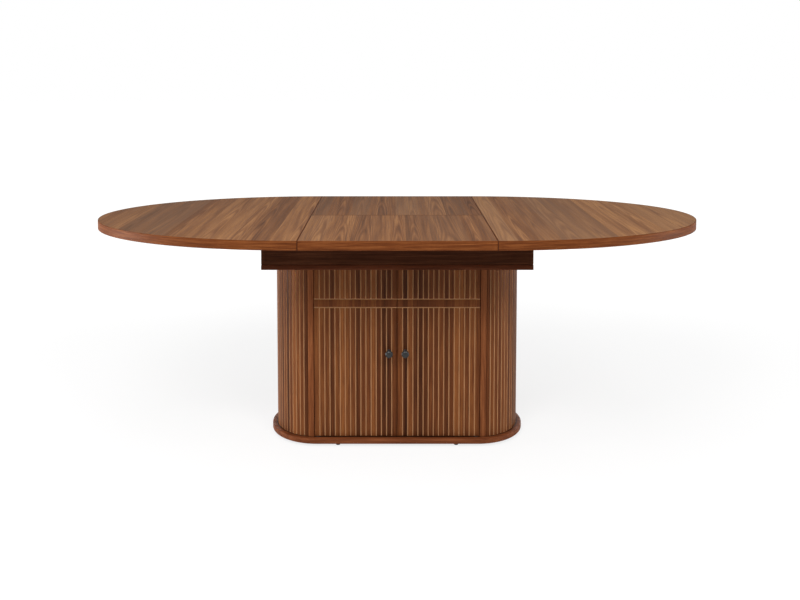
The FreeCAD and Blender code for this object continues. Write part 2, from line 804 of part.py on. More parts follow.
def pedestal(top_screws, bottom_screws):
    """Cabinet pedestal: plinth on feet, side panels, curved ends, back, shelf and door fittings."""
    feet = [foot(x, y) for x, y in feet_places()]
    board = stadium(pedestal_length + 2 * plinth_overhang, pedestal_radius + plinth_overhang,
                    foot_height, plinth_top)

    def upper_rim(edge):
        return edge.CenterOfMass.z > plinth_top - plinth_chamfer / 2

    board = chamfer_rim(board, plinth_chamfer, upper_rim)
    plinth = board.cut(both_ends([bush_seat(plinth_top, -1)]) + bottom_screws + feet)
    pins = shelf_pins()
    outline = stadium(pedestal_length, pedestal_radius, plinth_top, tray_floor_bottom)
    side = block(stile_inner, stile_outer, -pedestal_radius, pedestal_radius, plinth_top, tray_floor_bottom)
    side = side.common(outline).cut(pins + top_screws + bottom_screws)
    shelf_back = pedestal_radius - back_thickness - shelf_play
    shelf = block(-stile_inner + shelf_play, stile_inner - shelf_play, door_back + shelf_front_gap,
                  shelf_back, shelf_height, shelf_height + shelf_thickness)
    catch_front = door_back + strike_thickness + catch_gap
    catch = block(catch_x - catch_length / 2, catch_x + catch_length / 2, catch_front,
                  catch_front + catch_depth, tray_floor_bottom - catch_height, tray_floor_bottom)
    end = fluted_end()
    return {
        "plinth": [plinth],
        "feet": feet,
        "right_side_panel": [side],
        "left_side_panel": other_end([side]),
        "right_fluted_end": [end],
        "left_fluted_end": other_end([end]),
        "end_formers": both_ends(end_formers()),
        "fluted_back": fluted_back(),
        "shelf": [shelf],
        "shelf_pins": both_ends(pins),
        "door_bushes": both_ends([door_bush(plinth_top, -1), door_bush(tray_floor_bottom, 1)]),
        "magnetic_catches": both_ends([catch]),
    }


def door_grooves():
    """Vertical grooves above and below the plain band, and the two grooves that bound it."""
    band_top = band_bottom + band_height
    up = V(0, 0, 1)
    across = V(1, 0, 0)
    grooves = []
    for i in range(1, door_slats):
        x = door_inner + i * door_slat_pitch
        grooves.append(v_groove(up, across, V(x, door_front, door_bottom), band_bottom - door_bottom))
        grooves.append(v_groove(up, across, V(x, door_front, band_top), door_top - band_top))
    for z in (band_bottom, band_top):
        grooves.append(v_groove(across, up, V(door_inner, door_front, z), door_outer - door_inner))
    return grooves


def door_pins():
    """Upper and lower pivot pins of the right-hand door."""
    bottom = door_bottom + hinge_pin_in_door
    top = door_top - hinge_pin_in_door
    lower = rod(hinge_pin_radius, V(hinge_x, hinge_y, bottom), V(0, 0, -hinge_pin_length))
    upper = rod(hinge_pin_radius, V(hinge_x, hinge_y, top), V(0, 0, hinge_pin_length))
    return [lower, upper]


def knob(x):
    """Mushroom knob turned about the line square to the door face."""
    def at(radius, out):
        return V(x + radius, door_front - out, knob_height)

    dome_height = knob_head_height / 2
    dome_radius = (knob_head_radius ** 2 + dome_height ** 2) / (2 * dome_height)
    half_turn = math.asin(knob_head_radius / dome_radius) / 2
    crown = at(0, knob_projection)
    swell = at(dome_radius * math.sin(half_turn), knob_projection - dome_radius * (1 - math.cos(half_turn)))
    shoulder = at(knob_head_radius, knob_projection - dome_height)
    flare = at(knob_head_radius * 4 / 5, knob_projection - knob_head_height * 7 / 8)
    under = at(knob_stem_radius, knob_projection - knob_head_height)
    stem_foot = at(knob_stem_radius, knob_base_height)
    base_rim = at(knob_base_radius, knob_base_height)
    base = at(knob_base_radius, 0)
    centre = at(0, 0)
    outline = Part.Wire([
        Part.Arc(crown, swell, shoulder).toShape(),
        Part.Arc(shoulder, flare, under).toShape(),
        Part.makeLine(under, stem_foot),
        Part.makeLine(stem_foot, base_rim),
        Part.makeLine(base_rim, base),
        Part.makeLine(base, centre),
        Part.makeLine(centre, crown),
    ])
    return Part.Face(outline).revolve(centre, V(0, 1, 0), 360)


def knob_screw(x):
    """Machine screw from inside the door into the knob."""
    start = V(x, door_back, knob_height)
    head = rod(knob_screw_head, start, V(0, knob_screw_head_height, 0))
    shank = rod(knob_screw_radius, start, V(0, -door_thickness - knob_screw_bite, 0))
    return head.fuse(shank).removeSplitter()


def door():
    """Right-hand door with its pins, knob, knob screw and strike plate."""
    panel = block(door_inner, door_outer, door_front, door_back, door_bottom, door_top)
    pins = door_pins()
    knob_x = door_inner + knob_slat * door_slat_pitch
    screw = knob_screw(knob_x)
    strike = block(catch_x - strike_length / 2, catch_x + strike_length / 2, door_back,
                   door_back + strike_thickness, tray_floor_bottom - door_gap - strike_height,
                   tray_floor_bottom - door_gap)
    panel = panel.cut(door_grooves()).cut(pins + [screw])
    return {
        "door_panel": [panel],
        "door_pins": pins,
        "knob": [knob(knob_x).cut(screw)],
        "knob_screw": [screw],
        "strike_plate": [strike],
    }


def whole_table():
    """Every piece of the table, by name."""
    top_screws = frame_screws(tray_floor_top, -1)
    bottom_screws = frame_screws(foot_height, 1)
    tray_screws = bracket_screws(0, tray_floor_top + flange_thickness, -1)
    carrier = leaf_carrier(tray_screws)
    floor_screws = top_screws + both_ends(tray_screws)
    rail_fixings = rail_screws()
    fixed, middle, drawn, runner_fixings = slides(rail_fixings)
    pieces = dict(carrier)
    pieces.update(leaf(carrier))
    pieces.update(fold_hinges())
    pieces.update(moving_tops(middle, drawn, runner_fixings))
    pieces["fixed_rails"] = both_ends(fixed)
    pieces.update(tray(floor_screws, rail_fixings))
    pieces.update(pedestal(top_screws, bottom_screws))
    pieces["frame_screws"] = floor_screws + bottom_screws + both_ends(both_sides(rail_fixings))
    for name, shapes in door().items():
        pieces["right_" + name] = shapes
        pieces["left_" + name] = other_end(shapes)
    return pieces


for name, shapes in whole_table().items():
    whole = shapes[0] if len(shapes) == 1 else Part.makeCompound(shapes)
    whole.exportStep(os.path.join("parts", name + ".step"))
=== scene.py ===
import json
import logging
import math
from dataclasses import dataclass, replace
from enum import Enum
from typing import Optional, Union

import bmesh
import bpy
import numpy as np
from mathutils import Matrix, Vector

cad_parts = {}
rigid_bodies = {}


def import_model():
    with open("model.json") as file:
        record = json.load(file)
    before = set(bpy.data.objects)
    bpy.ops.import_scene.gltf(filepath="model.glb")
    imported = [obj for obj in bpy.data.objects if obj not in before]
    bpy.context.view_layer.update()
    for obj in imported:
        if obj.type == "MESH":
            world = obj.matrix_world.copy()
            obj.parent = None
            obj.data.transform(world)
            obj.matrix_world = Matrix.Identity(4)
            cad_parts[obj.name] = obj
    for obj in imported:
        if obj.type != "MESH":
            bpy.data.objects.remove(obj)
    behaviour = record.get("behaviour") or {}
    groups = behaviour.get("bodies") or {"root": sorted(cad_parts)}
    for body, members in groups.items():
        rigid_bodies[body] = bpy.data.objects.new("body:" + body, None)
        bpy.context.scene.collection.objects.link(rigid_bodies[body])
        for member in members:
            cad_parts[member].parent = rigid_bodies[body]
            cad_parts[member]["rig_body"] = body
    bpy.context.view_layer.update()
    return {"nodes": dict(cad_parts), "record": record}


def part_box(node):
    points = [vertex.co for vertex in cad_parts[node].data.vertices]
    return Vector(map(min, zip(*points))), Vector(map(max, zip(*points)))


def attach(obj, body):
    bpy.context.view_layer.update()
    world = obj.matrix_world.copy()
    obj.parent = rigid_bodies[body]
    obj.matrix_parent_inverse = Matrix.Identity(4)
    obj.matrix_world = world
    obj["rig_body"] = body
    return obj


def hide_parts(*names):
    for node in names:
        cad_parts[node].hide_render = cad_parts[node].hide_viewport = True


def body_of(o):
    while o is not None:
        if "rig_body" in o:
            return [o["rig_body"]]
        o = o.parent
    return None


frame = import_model()

# An oval dining table whose halves draw apart over a folding leaf, on a fluted cabinet pedestal.
# Metres. X runs along the table, the doors face -Y, Z = 0 is the floor.

Colour = tuple[float, float, float, float]
Pair = tuple[float, float]
Triple = tuple[float, float, float]
Number = Union[float, "Value"]
Look = dict[str, Union[float, Colour, "Value"]]
log = logging.getLogger("table")


# The screen's curve: straight below its knee, a lifted power above it.
KNEE, SLOPE, LIFT, POWER = 0.04045, 12.92, 0.055, 2.4


def paint(red: int, green: int, blue: int) -> Colour:
    """Scene colour of a screen colour, by the screen's curve.

    Args:
        red: Red part, from 0 to 255.
        green: Green part.
        blue: Blue part.

    Returns:
        The colour with full cover.
    """
    part = np.array([red, green, blue]) / 255
    linear = np.where(part <= KNEE, part / SLOPE, ((part + LIFT) / (1 + LIFT)) ** POWER)
    return (*linear.tolist(), 1.0)


# Shader tools

# A Mix node's colour sockets go by number, because their names repeat.
MIX_SHARE, MIX_FIRST, MIX_SECOND, MIX_RESULT = 0, 6, 7, 2


class Value:
    """A socket in a node tree. Operators on number sockets add Math nodes."""

    def __init__(self, shader: "Shader", socket: bpy.types.NodeSocket) -> None:
        """Hold the socket and the tree that it belongs to."""
        self.shader = shader
        self.socket = socket

    def math(self, operation: str, first: Number, second: Number = 0.0) -> "Value":
        """Math node on two numbers or sockets."""
        return self.shader.node("ShaderNodeMath", {"operation": operation}, {0: first, 1: second})

    def __add__(self, other: Number) -> "Value":
        """Sum."""
        return self.math("ADD", self, other)

    def __radd__(self, other: Number) -> "Value":
        """Sum with a number in front."""
        return self.math("ADD", other, self)

    def __sub__(self, other: Number) -> "Value":
        """Difference."""
        return self.math("SUBTRACT", self, other)

    def __rsub__(self, other: Number) -> "Value":
        """Difference from a number in front."""
        return self.math("SUBTRACT", other, self)

    def __mul__(self, other: Number) -> "Value":
        """Product."""
        return self.math("MULTIPLY", self, other)

    def __rmul__(self, other: Number) -> "Value":
        """Product with a number in front."""
        return self.math("MULTIPLY", other, self)

    def __truediv__(self, other: Number) -> "Value":
        """Quotient."""
        return self.math("DIVIDE", self, other)

    def __abs__(self) -> "Value":
        """Size without its sign."""
        return self.math("ABSOLUTE", self)

    def floor(self) -> "Value":
        """Whole number below."""
        return self.math("FLOOR", self)

    def most(self, other: Number) -> "Value":
        """Greater of two."""
        return self.math("MAXIMUM", self, other)

    def least(self, other: Number) -> "Value":
        """Smaller of two."""
        return self.math("MINIMUM", self, other)

    def centred(self) -> "Value":
        """Number from 0 to 1, moved to lie about 0."""
        return self - 0.5

    def wave(self) -> "Value":
        """Soft wave from 0 to 1 that repeats with each whole number."""
        return 0.5 + 0.5 * self.math("SINE", self * (2 * math.pi))

    def rise(self, low: float, high: float) -> "Value":
        """Smooth step from 0 at low to 1 at high."""
        ends = {"Value": self, "From Min": low, "From Max": high}
        return self.shader.node("ShaderNodeMapRange", {"interpolation_type": "SMOOTHSTEP"}, ends)


class Shader:
    """A node tree that is written as Python expressions."""

    def __init__(self, name: str, tree: Optional[bpy.types.NodeTree] = None) -> None:
        """Start an empty tree: a new material's, or the one given.

        Args:
            name: Name of the new material.
            tree: A tree to use in place of a material's, such as the world's.
        """
        self.material: Optional[bpy.types.Material] = None
        if tree is None:
            self.material = bpy.data.materials.new(name)
            self.material.use_nodes = True
            tree = self.material.node_tree
        self.tree = tree
        self.tree.nodes.clear()

    def node(self, kind: str, settings: dict, inputs: dict, output: Union[int, str] = 0) -> Optional[Value]:
        """Add a node.

        Args:
            kind: Node type.
            settings: Values set on the node first; "stops" are a ramp's places and colours.
            inputs: Values or links of its sockets, by name or number.
            output: Which output to give back.

        Returns:
            The output, or nothing for a node that has none.
        """
        made = self.tree.nodes.new(kind)
        for key, setting in settings.items():
            if key == "stops":
                self.fill_ramp(made.color_ramp, setting)
            else:
                setattr(made, key, setting)
        for key, given in inputs.items():
            if isinstance(given, Value):
                self.tree.links.new(given.socket, made.inputs[key])
            else:
                made.inputs[key].default_value = given
        return Value(self, made.outputs[output]) if made.outputs else None

    @staticmethod
    def fill_ramp(ramp: bpy.types.ColorRamp, stops: list[tuple[float, Colour]]) -> None:
        """Set a ramp's stops, which start with two in every new ramp.

        Args:
            ramp: The ramp to fill.
            stops: Place and colour of each stop, in order.
        """
        while len(ramp.elements) < len(stops):
            ramp.elements.new(1.0)
        for element, (place, colour) in zip(ramp.elements, stops):
            element.position = place
            element.color = colour

    def spot(self) -> Value:
        """Object coordinates in metres as a vector."""
        return self.node("ShaderNodeTexCoord", {}, {}, "Object")

    def place(self) -> tuple[Value, Value, Value]:
        """Object coordinates in metres as three numbers."""
        return self.split(self.spot())

    def run(self) -> tuple[Value, Value, Value]:
        """The piece's own run along its surface and its height, from its UV map."""
        return self.split(self.node("ShaderNodeUVMap", {"uv_map": "run"}, {}))

    def rays(self) -> tuple[Value, Value, Value]:
        """Whether a ray comes from the camera, from a reflection or through glass.

        Returns:
            A 1 or a 0 for each of the three.
        """
        made = self.node("ShaderNodeLightPath", {}, {}).socket.node
        kinds = ("Camera", "Glossy", "Transmission")
        return tuple(Value(self, made.outputs[f"Is {kind} Ray"]) for kind in kinds)

    def split(self, vector: Value) -> tuple[Value, Value, Value]:
        """Three parts of a vector."""
        made = self.node("ShaderNodeSeparateXYZ", {}, {0: vector}).socket.node
        return tuple(Value(self, part) for part in made.outputs)

    def point(self, x: Number, y: Number, z: Number) -> Value:
        """Vector of three numbers."""
        return self.node("ShaderNodeCombineXYZ", {}, {0: x, 1: y, 2: z})

    def length(self, vector: Value) -> Value:
        """Length of a vector."""
        return self.node("ShaderNodeVectorMath", {"operation": "LENGTH"}, {0: vector}, "Value")

    def noise(self, place: Value, detail: float = 2.0, roughness: float = 0.5, scale: float = 1.0) -> Value:
        """Soft noise from 0 to 1 with features about one unit over the scale across."""
        inputs = {"Vector": place, "Scale": scale, "Detail": detail, "Roughness": roughness}
        return self.node("ShaderNodeTexNoise", {}, inputs)

    def chance(self, number: Value, row: float = 0.0) -> Value:
        """Fixed random number from 0 to 1 for each whole number; the row shifts where its list starts."""
        return self.node("ShaderNodeTexWhiteNoise", {"noise_dimensions": "1D"}, {"W": number + (row + 0.5)})

    def mix(self, share: Number, first: Union[Colour, Value], second: Union[Colour, Value]) -> Value:
        """Colour part of the way from the first to the second."""
        inputs = {MIX_SHARE: share, MIX_FIRST: first, MIX_SECOND: second}
        return self.node("ShaderNodeMix", {"data_type": "RGBA"}, inputs, MIX_RESULT)

    def ramp(self, tone: Value, stops: list[tuple[float, Colour]]) -> Value:
        """Colour along a ramp."""
        return self.node("ShaderNodeValToRGB", {"stops": stops}, {0: tone})

    def bump(self, height: Value, depth: float, strength: float) -> Value:
        """Normal of a surface that this height raises by up to a depth in metres."""
        return self.node("ShaderNodeBump", {}, {"Strength": strength, "Distance": depth, "Height": height})

    def surface(self, look: Look) -> bpy.types.Material:
        """Close the material with one surface shader.

        Args:
            look: Values or links of the surface shader's sockets.

        Returns:
            The finished material.
        """
        made = self.node("ShaderNodeBsdfPrincipled", {}, look)
        self.node("ShaderNodeOutputMaterial", {}, {"Surface": made})
        return self.material


# Finishes


class Finish:
    """What every finish shares: it gives a surface's sockets, and a material is made of them."""

    def look(self, shader: Shader) -> Look:
        """Surface sockets of the finish, which each finish works out for itself."""
        raise NotImplementedError

    def material(self, name: str) -> bpy.types.Material:
        """New material with this finish."""
        shader = Shader(name)
        return shader.surface(self.look(shader))


class Grain(Enum):
    """Which way the grain runs; the value orders X, Y and Z as across, along and depth."""

    ALONG_X = (2, 0, 1)
    ALONG_Y = (0, 1, 2)
    ALONG_Z = (0, 2, 1)


@dataclass(frozen=True)
class Wood:
    """Lacquered timber: broad streaks, fine fibres and dark pores drawn out along the grain.

    Each layer of its figure has a size across the grain, a stretch along it, a detail, and ends
    between which the noise rises from 0 to 1.
    """

    dark: Colour
    middle: Colour
    pale: Colour
    streak: float = 0.016
    streak_stretch: float = 26.0
    streak_detail: float = 3.0
    streak_share: float = 0.65
    fibre: float = 0.0016
    fibre_stretch: float = 45.0
    fibre_detail: float = 2.0
    fibre_share: float = 0.35
    layer_ends: Pair = (0.25, 0.75)
    pore: float = 0.0007
    pore_stretch: float = 24.0
    pore_detail: float = 1.0
    pore_ends: Pair = (0.56, 0.74)
    pore_shade: float = 0.45
    fineness: float = 0.6
    bends_across: float = 9.0
    bends_along: float = 1.6
    wander: float = 0.022
    contrast: float = 0.8
    roughness: float = 0.5
    fibre_roughness: float = 0.1
    pore_roughness: float = 0.08
    gloss: float = 0.25
    relief: float = 0.00012
    relief_strength: float = 0.6
    fibre_relief: float = 0.5
    seed: float = 0.0

    def figure(self, shader: Shader, across: Value, along: Value, depth: Number) -> tuple[Value, ...]:
        """Streaks, fibres and pores, each from 0 to 1.

        The place across the grain is bent by slow noise, so streaks wander; each layer is noise on
        a space squeezed along the grain by its stretch.

        Args:
            shader: Tree to add to.
            across: Distance across the grain in metres.
            along: Distance along the grain.
            depth: Distance into the board.

        Returns:
            The three layers.
        """
        bend_place = shader.point(across * self.bends_across + self.seed, along * self.bends_along,
                                  depth * self.bends_across)
        bent = across + shader.noise(bend_place).centred() * self.wander

        def layer(size: float, stretch: float, detail: float, ends: Pair) -> Value:
            """Noise whose features are a size across and a stretch times longer."""
            place = shader.point(bent / size + self.seed, along / (size * stretch), depth / size)
            return shader.noise(place, detail, self.fineness).rise(*ends)

        return (
            layer(self.streak, self.streak_stretch, self.streak_detail, self.layer_ends),
            layer(self.fibre, self.fibre_stretch, self.fibre_detail, self.layer_ends),
            layer(self.pore, self.pore_stretch, self.pore_detail, self.pore_ends),
        )

    def coloured(self, shader: Shader, layers: tuple[Value, ...], tone: Number = 0.0) -> Value:
        """Colour of the figure: a ramp from dark to pale over streaks and fibres, darkened in the pores.

        Args:
            shader: Tree to add to.
            layers: Streaks, fibres and pores.
            tone: Shift towards dark below 0, towards pale above it.

        Returns:
            The colour.
        """
        streaks, fibres, pores = layers
        spread = streaks.centred() * self.streak_share + fibres.centred() * self.fibre_share
        level = 0.5 + spread * self.contrast + tone
        timber = shader.ramp(level, [(0.0, self.dark), (0.5, self.middle), (1.0, self.pale)])
        return shader.mix(pores * self.pore_shade, timber, self.dark)

    def lacquered(self, shader: Shader, layers: tuple[Value, ...], colour: Value) -> Look:
        """Satin lacquer over a figure, sunk a little in the pores.

        Args:
            shader: Tree to add to.
            layers: Streaks, fibres and pores.
            colour: Colour under the lacquer.

        Returns:
            The surface's sockets.
        """
        _, fibres, pores = layers
        roughness = self.roughness + fibres.centred() * self.fibre_roughness + pores * self.pore_roughness
        height = fibres * self.fibre_relief - pores
        return {
            "Base Color": colour,
            "Roughness": roughness,
            "Specular IOR Level": self.gloss,
            "Normal": shader.bump(height, self.relief, self.relief_strength),
        }


@dataclass(frozen=True)
class PlainBoard(Finish):
    """Board of one timber with its grain along an axis."""

    wood: Wood
    grain: Grain

    def look(self, shader: Shader) -> Look:
        """Figure of the timber, turned to the grain.

        Args:
            shader: Tree to add to.

        Returns:
            The surface's sockets.
        """
        place = shader.place()
        across, along, depth = (place[axis] for axis in self.grain.value)
        layers = self.wood.figure(shader, across, along, depth)
        return self.wood.lacquered(shader, layers, self.wood.coloured(shader, layers))


@dataclass(frozen=True)
class PlankVeneer(Finish):
    """Top veneer of joined planks that run from front to back, each with its own tone.

    Its seed's shift and row set a board apart: they move where the planks start and pick their
    chances. The jumps pick each plank's stretch of the figure.
    """

    wood: Wood
    seam_x: float
    seam_y: Optional[float] = None
    shift: float = 0.0
    grey_share: float = 0.4
    grey: Colour = paint(113, 85, 63)
    grey_ends: Pair = (0.3, 1.0)
    plank: float = 0.086
    unevenness: float = 0.9
    uneven_scale: float = 7.0
    seed_shift: float = 0.37
    seed_row: float = 7.0
    second_row: float = 40.0
    jump_across: float = 3.0
    jump_along: float = 5.0
    tone: float = 0.32
    flame_run: float = 3.2
    flame_bend: float = 34.0
    flame_tone: float = 0.3
    flame_middles: Pair = (0.2, 0.8)
    flame_wander: float = 2.8
    wander_across: float = 16.0
    wander_along: float = 2.4
    wander_jump: float = 9.0
    joint: float = 0.0007
    joint_shade: float = 0.35
    # Seam darkening: grime plus a painted shadow of the gap between boards.
    seam_width: float = 0.0032
    seam_core: float = 0.4
    seam_shade: float = 0.97
    seam_grime_and_shadow: Colour = paint(70, 30, 0)

    def look(self, shader: Shader) -> Look:
        """Veneer in Object coordinates.

        The plank's number is the whole part of the place across the table over the plank's width,
        where slow noise makes the widths uneven. It gives each plank a tone, a share of grey and its
        own stretch of figure. Flames are waves of the run along the plank plus the square of the
        place across it. The arrises at the seams are darkened: grime plus a painted shadow of the gap
        between boards.

        Args:
            shader: Tree to add to.

        Returns:
            The surface's sockets.
        """
        x, y, z = shader.place()
        uneven = shader.noise(shader.point(x * self.uneven_scale, self.wood.seed, 0.0), detail=0.0)
        spread = x / self.plank + uneven * self.unevenness + self.wood.seed * self.seed_shift
        number = spread.floor()
        inside = spread - number
        row = self.wood.seed * self.seed_row
        first = shader.chance(number, row)
        second = shader.chance(number, row + self.second_row)
        layers = self.wood.figure(shader, x + first * self.jump_across, y + second * self.jump_along, z)
        left, right = self.flame_middles
        aside = inside - left - first * (right - left)
        wander_place = shader.point(x * self.wander_across + first * self.wander_jump,
                                    y * self.wander_along, 0.0)
        wander = shader.noise(wander_place, detail=1.0) * self.flame_wander
        flame = (y * self.flame_run + aside * aside * self.flame_bend + wander).wave()
        tone = self.shift + first.centred() * self.tone + flame.centred() * self.flame_tone
        timber = self.wood.coloured(shader, layers, tone)
        timber = shader.mix(second.rise(*self.grey_ends) * self.grey_share, timber, self.grey)
        edge = inside.least(1.0 - inside) * self.plank
        timber = shader.mix((1.0 - edge.rise(0.0, self.joint)) * self.joint_shade, timber, self.wood.dark)
        # seams: grime plus a painted shadow of the gap between boards
        seam = self.near_seam(abs(x) - self.seam_x)
        if self.seam_y is not None:
            seam = seam.most(self.near_seam(y - self.seam_y))
        timber = shader.mix(seam * self.seam_shade, timber, self.seam_grime_and_shadow)
        return self.wood.lacquered(shader, layers, timber)

    def near_seam(self, away: Value) -> Value:
        """1 in the middle of a seam, falling to 0 at its width."""
        return 1.0 - abs(away).rise(self.seam_width * self.seam_core, self.seam_width)


@dataclass(frozen=True)
class EdgeBand(Finish):
    """Veneer strip round the top's edge, with its grain along the strip and darker arrises."""

    wood: Wood
    low: float
    high: float
    lower_arris: float = 0.0025
    lower_shade: float = 0.15
    upper_arris: float = 0.0012
    upper_shade: float = 0.4
    butt: float = 0.305
    butt_core: float = 0.001
    butt_width: float = 0.0026
    butt_shade: float = 0.95

    def look(self, shader: Shader) -> Look:
        """Strip on its own run and height, dark at both arrises and where two strips butt.

        Args:
            shader: Tree to add to.

        Returns:
            The surface's sockets.
        """
        run, height, _ = shader.run()
        x, _, _ = shader.place()
        layers = self.wood.figure(shader, height, run, 0.0)
        timber = self.wood.coloured(shader, layers)
        lower = (1.0 - (height - self.low).rise(0.0, self.lower_arris)) * self.lower_shade
        upper = (height - self.high).rise(-self.upper_arris, 0.0) * self.upper_shade
        # where two strips butt: grime plus a painted shadow of the gap between them
        butt = (1.0 - abs(abs(x) - self.butt).rise(self.butt_core, self.butt_width)) * self.butt_shade
        timber = shader.mix(lower.most(upper).most(butt), timber, self.wood.dark)
        return self.wood.lacquered(shader, layers, timber)


@dataclass(frozen=True)
class FlutedFace(Finish):
    """Slatted face: slats are toned in loose groups, and the grooves between slats are painted paler, a
    painted highlight of light caught on their walls.

    The rows pick separate chances for a slat and its strips, the jumps its stretch of the figure.
    """

    wood: Wood
    groove: Colour
    pitch: float
    band: Pair = (0.0, 0.0)
    band_edge: float = 0.001
    band_tone: float = 0.6
    meeting: Optional[float] = None
    meeting_tone: float = -0.15
    meeting_ends: Pair = (2.0, 4.5)
    tone: float = 0.44
    second_row: float = 70.0
    group: float = 3.2
    group_tone: float = 0.75
    strips: float = 3.0
    strip_row: float = 150.0
    strip_tone: float = 0.12
    jump_across: float = 2.0
    jump_along: float = 4.0
    groove_grain: float = 0.3
    groove_ends: Pair = (0.02, 0.3)

    def look(self, shader: Shader) -> Look:
        """Slats on the piece's slat count, height and groove depth.

        Each slat's tone is its own chance plus slow noise over the slats' numbers, and darker where
        two doors meet; a slat's strips differ a little. The figure starts afresh on each slat, and
        tones are milder in the plain band.

        Args:
            shader: Tree to add to.

        Returns:
            The surface's sockets.
        """
        slat, height, _ = shader.run()
        depth = shader.node("ShaderNodeAttribute", {"attribute_name": "groove"}, {}, "Fac")
        number = slat.floor()
        first = shader.chance(number)
        second = shader.chance(number, self.second_row)
        strip = shader.chance((slat * self.strips).floor(), self.strip_row)
        across = slat * self.pitch + first * self.jump_across
        layers = self.wood.figure(shader, across, height + second * self.jump_along, second)
        group = shader.noise(shader.point(number / self.group, self.wood.seed, 0.0), detail=1.0)
        tone = first.centred() * self.tone + group.centred() * self.group_tone
        tone = tone + strip.centred() * self.strip_tone
        if self.meeting is not None:
            apart = abs(number + 0.5 - self.meeting).rise(*self.meeting_ends)
            tone = tone + (1.0 - apart) * self.meeting_tone
        middle, reach = sum(self.band) / 2, (self.band[1] - self.band[0]) / 2
        outside = abs(height - middle).rise(reach - self.band_edge, reach)
        timber = self.wood.coloured(shader, layers, tone * (self.band_tone + (1 - self.band_tone) * outside))
        # painted highlight: the groove walls are coloured pale in place of the light they catch
        painted_groove_highlight = shader.mix(layers[1] * self.groove_grain, self.groove, self.wood.middle)
        timber = shader.mix(depth.rise(*self.groove_ends), timber, painted_groove_highlight)
        return self.wood.lacquered(shader, layers, timber)


@dataclass(frozen=True)
class PlinthBoard(Finish):
    """Plinth timber, with a painted shadow in the joint round the foot of the walls."""

    wood: Wood
    straight: float
    radius: float
    # Width, share and colour of the painted shadow round the walls' foot.
    joint: float = 0.008
    joint_shade: float = 0.96
    foot_shadow_paint: Colour = paint(26, 12, 6)

    def look(self, shader: Shader) -> Look:
        """Plinth in Object coordinates.

        The distance from the walls is that from the middle line, which ends at the round ends'
        centres, less the walls' radius.

        Args:
            shader: Tree to add to.

        Returns:
            The surface's sockets.
        """
        x, y, z = shader.place()
        layers = self.wood.figure(shader, z, x, y)
        past = (abs(x) - self.straight).most(0.0)
        away = shader.length(shader.point(past, y, 0.0)) - self.radius
        # painted shadow: the plinth darkens towards the walls' foot, where shade falls
        shade = (1.0 - away.rise(0.0, self.joint)) * self.joint_shade
        timber = shader.mix(shade, self.wood.coloured(shader, layers), self.foot_shadow_paint)
        return self.wood.lacquered(shader, layers, timber)


@dataclass(frozen=True)
class Metal(Finish):
    """Metal with fine drawn lines and a little mottle."""

    colour: Colour
    worn: Colour
    roughness: float
    metallic: float = 1.0
    line: float = 0.0006
    line_stretch: float = 40.0
    line_roughness: float = 0.08
    mottle_scale: float = 60.0
    mottle_ends: Pair = (0.35, 0.8)
    mottle_roughness: float = 0.15
    relief: float = 0.00003
    relief_strength: float = 0.5

    def look(self, shader: Shader) -> Look:
        """Metal in Object coordinates: noise drawn out along X over soft round patches.

        Args:
            shader: Tree to add to.

        Returns:
            The surface's sockets.
        """
        x, y, z = shader.place()
        lines = shader.noise(shader.point(x / (self.line * self.line_stretch), y / self.line, z / self.line))
        mottle = shader.noise(shader.spot(), detail=3.0, scale=self.mottle_scale)
        uneven = mottle.centred() * self.mottle_roughness + lines.centred() * self.line_roughness
        return {
            "Base Color": shader.mix(mottle.rise(*self.mottle_ends), self.colour, self.worn),
            "Metallic": self.metallic,
            "Roughness": self.roughness + uneven,
            "Normal": shader.bump(lines, self.relief, self.relief_strength),
        }


@dataclass(frozen=True)
class Moulded(Finish):
    """Moulded plastic, rubber or powder coat with a fine pebbled skin."""

    colour: Colour
    worn: Colour
    roughness: float
    pebble: float = 0.0008
    relief: float = 0.00006
    relief_strength: float = 0.6
    patch_scale: float = 45.0
    patch_ends: Pair = (0.4, 0.8)
    patch_share: float = 0.6
    patch_roughness: float = 0.12

    def look(self, shader: Shader) -> Look:
        """Moulded skin in Object coordinates: fine noise for pebbles, broad noise for wear.

        Args:
            shader: Tree to add to.

        Returns:
            The surface's sockets.
        """
        skin = shader.noise(shader.spot(), detail=1.0, scale=1 / self.pebble)
        patch = shader.noise(shader.spot(), detail=3.0, scale=self.patch_scale)
        return {
            "Base Color": shader.mix(patch.rise(*self.patch_ends) * self.patch_share, self.colour, self.worn),
            "Roughness": self.roughness + patch.centred() * self.patch_roughness,
            "Normal": shader.bump(skin, self.relief, self.relief_strength),
        }


TOP_WOOD = Wood(paint(70, 40, 20), paint(114, 74, 45), paint(153, 109, 69), streak=0.019, streak_stretch=36.0,
                fibre=0.0036, fibre_stretch=80.0, streak_share=0.62, fibre_share=0.48, wander=0.024,
                contrast=0.72, gloss=0.07)
EDGE_WOOD = Wood(paint(67, 32, 14), paint(105, 56, 26), paint(140, 84, 44), streak=0.006, gloss=0.05)
APRON_WOOD = Wood(paint(40, 20, 11), paint(66, 35, 20), paint(92, 54, 34), streak=0.008, gloss=0.03)
TRAY_WOOD = Wood(paint(54, 26, 14), paint(86, 44, 26), paint(112, 64, 40), streak=0.008, gloss=0.03)
SLAT_WOOD = Wood(paint(49, 22, 9), paint(94, 51, 26), paint(138, 84, 45), streak=0.006, contrast=0.5,
                 roughness=0.45, gloss=0.06)
STILE_WOOD = Wood(paint(72, 36, 18), paint(118, 67, 37), paint(146, 90, 54), streak=0.008, gloss=0.06)
PLINTH_WOOD = Wood(paint(70, 35, 18), paint(106, 57, 31), paint(140, 82, 48), streak=0.009, gloss=0.08)
INNER_WOOD = Wood(paint(86, 54, 34), paint(120, 82, 54), paint(150, 108, 76), streak=0.012)
# Pale colour painted into the grooves: a painted highlight.
GROOVE_HIGHLIGHT_PAINT = paint(193, 148, 108)

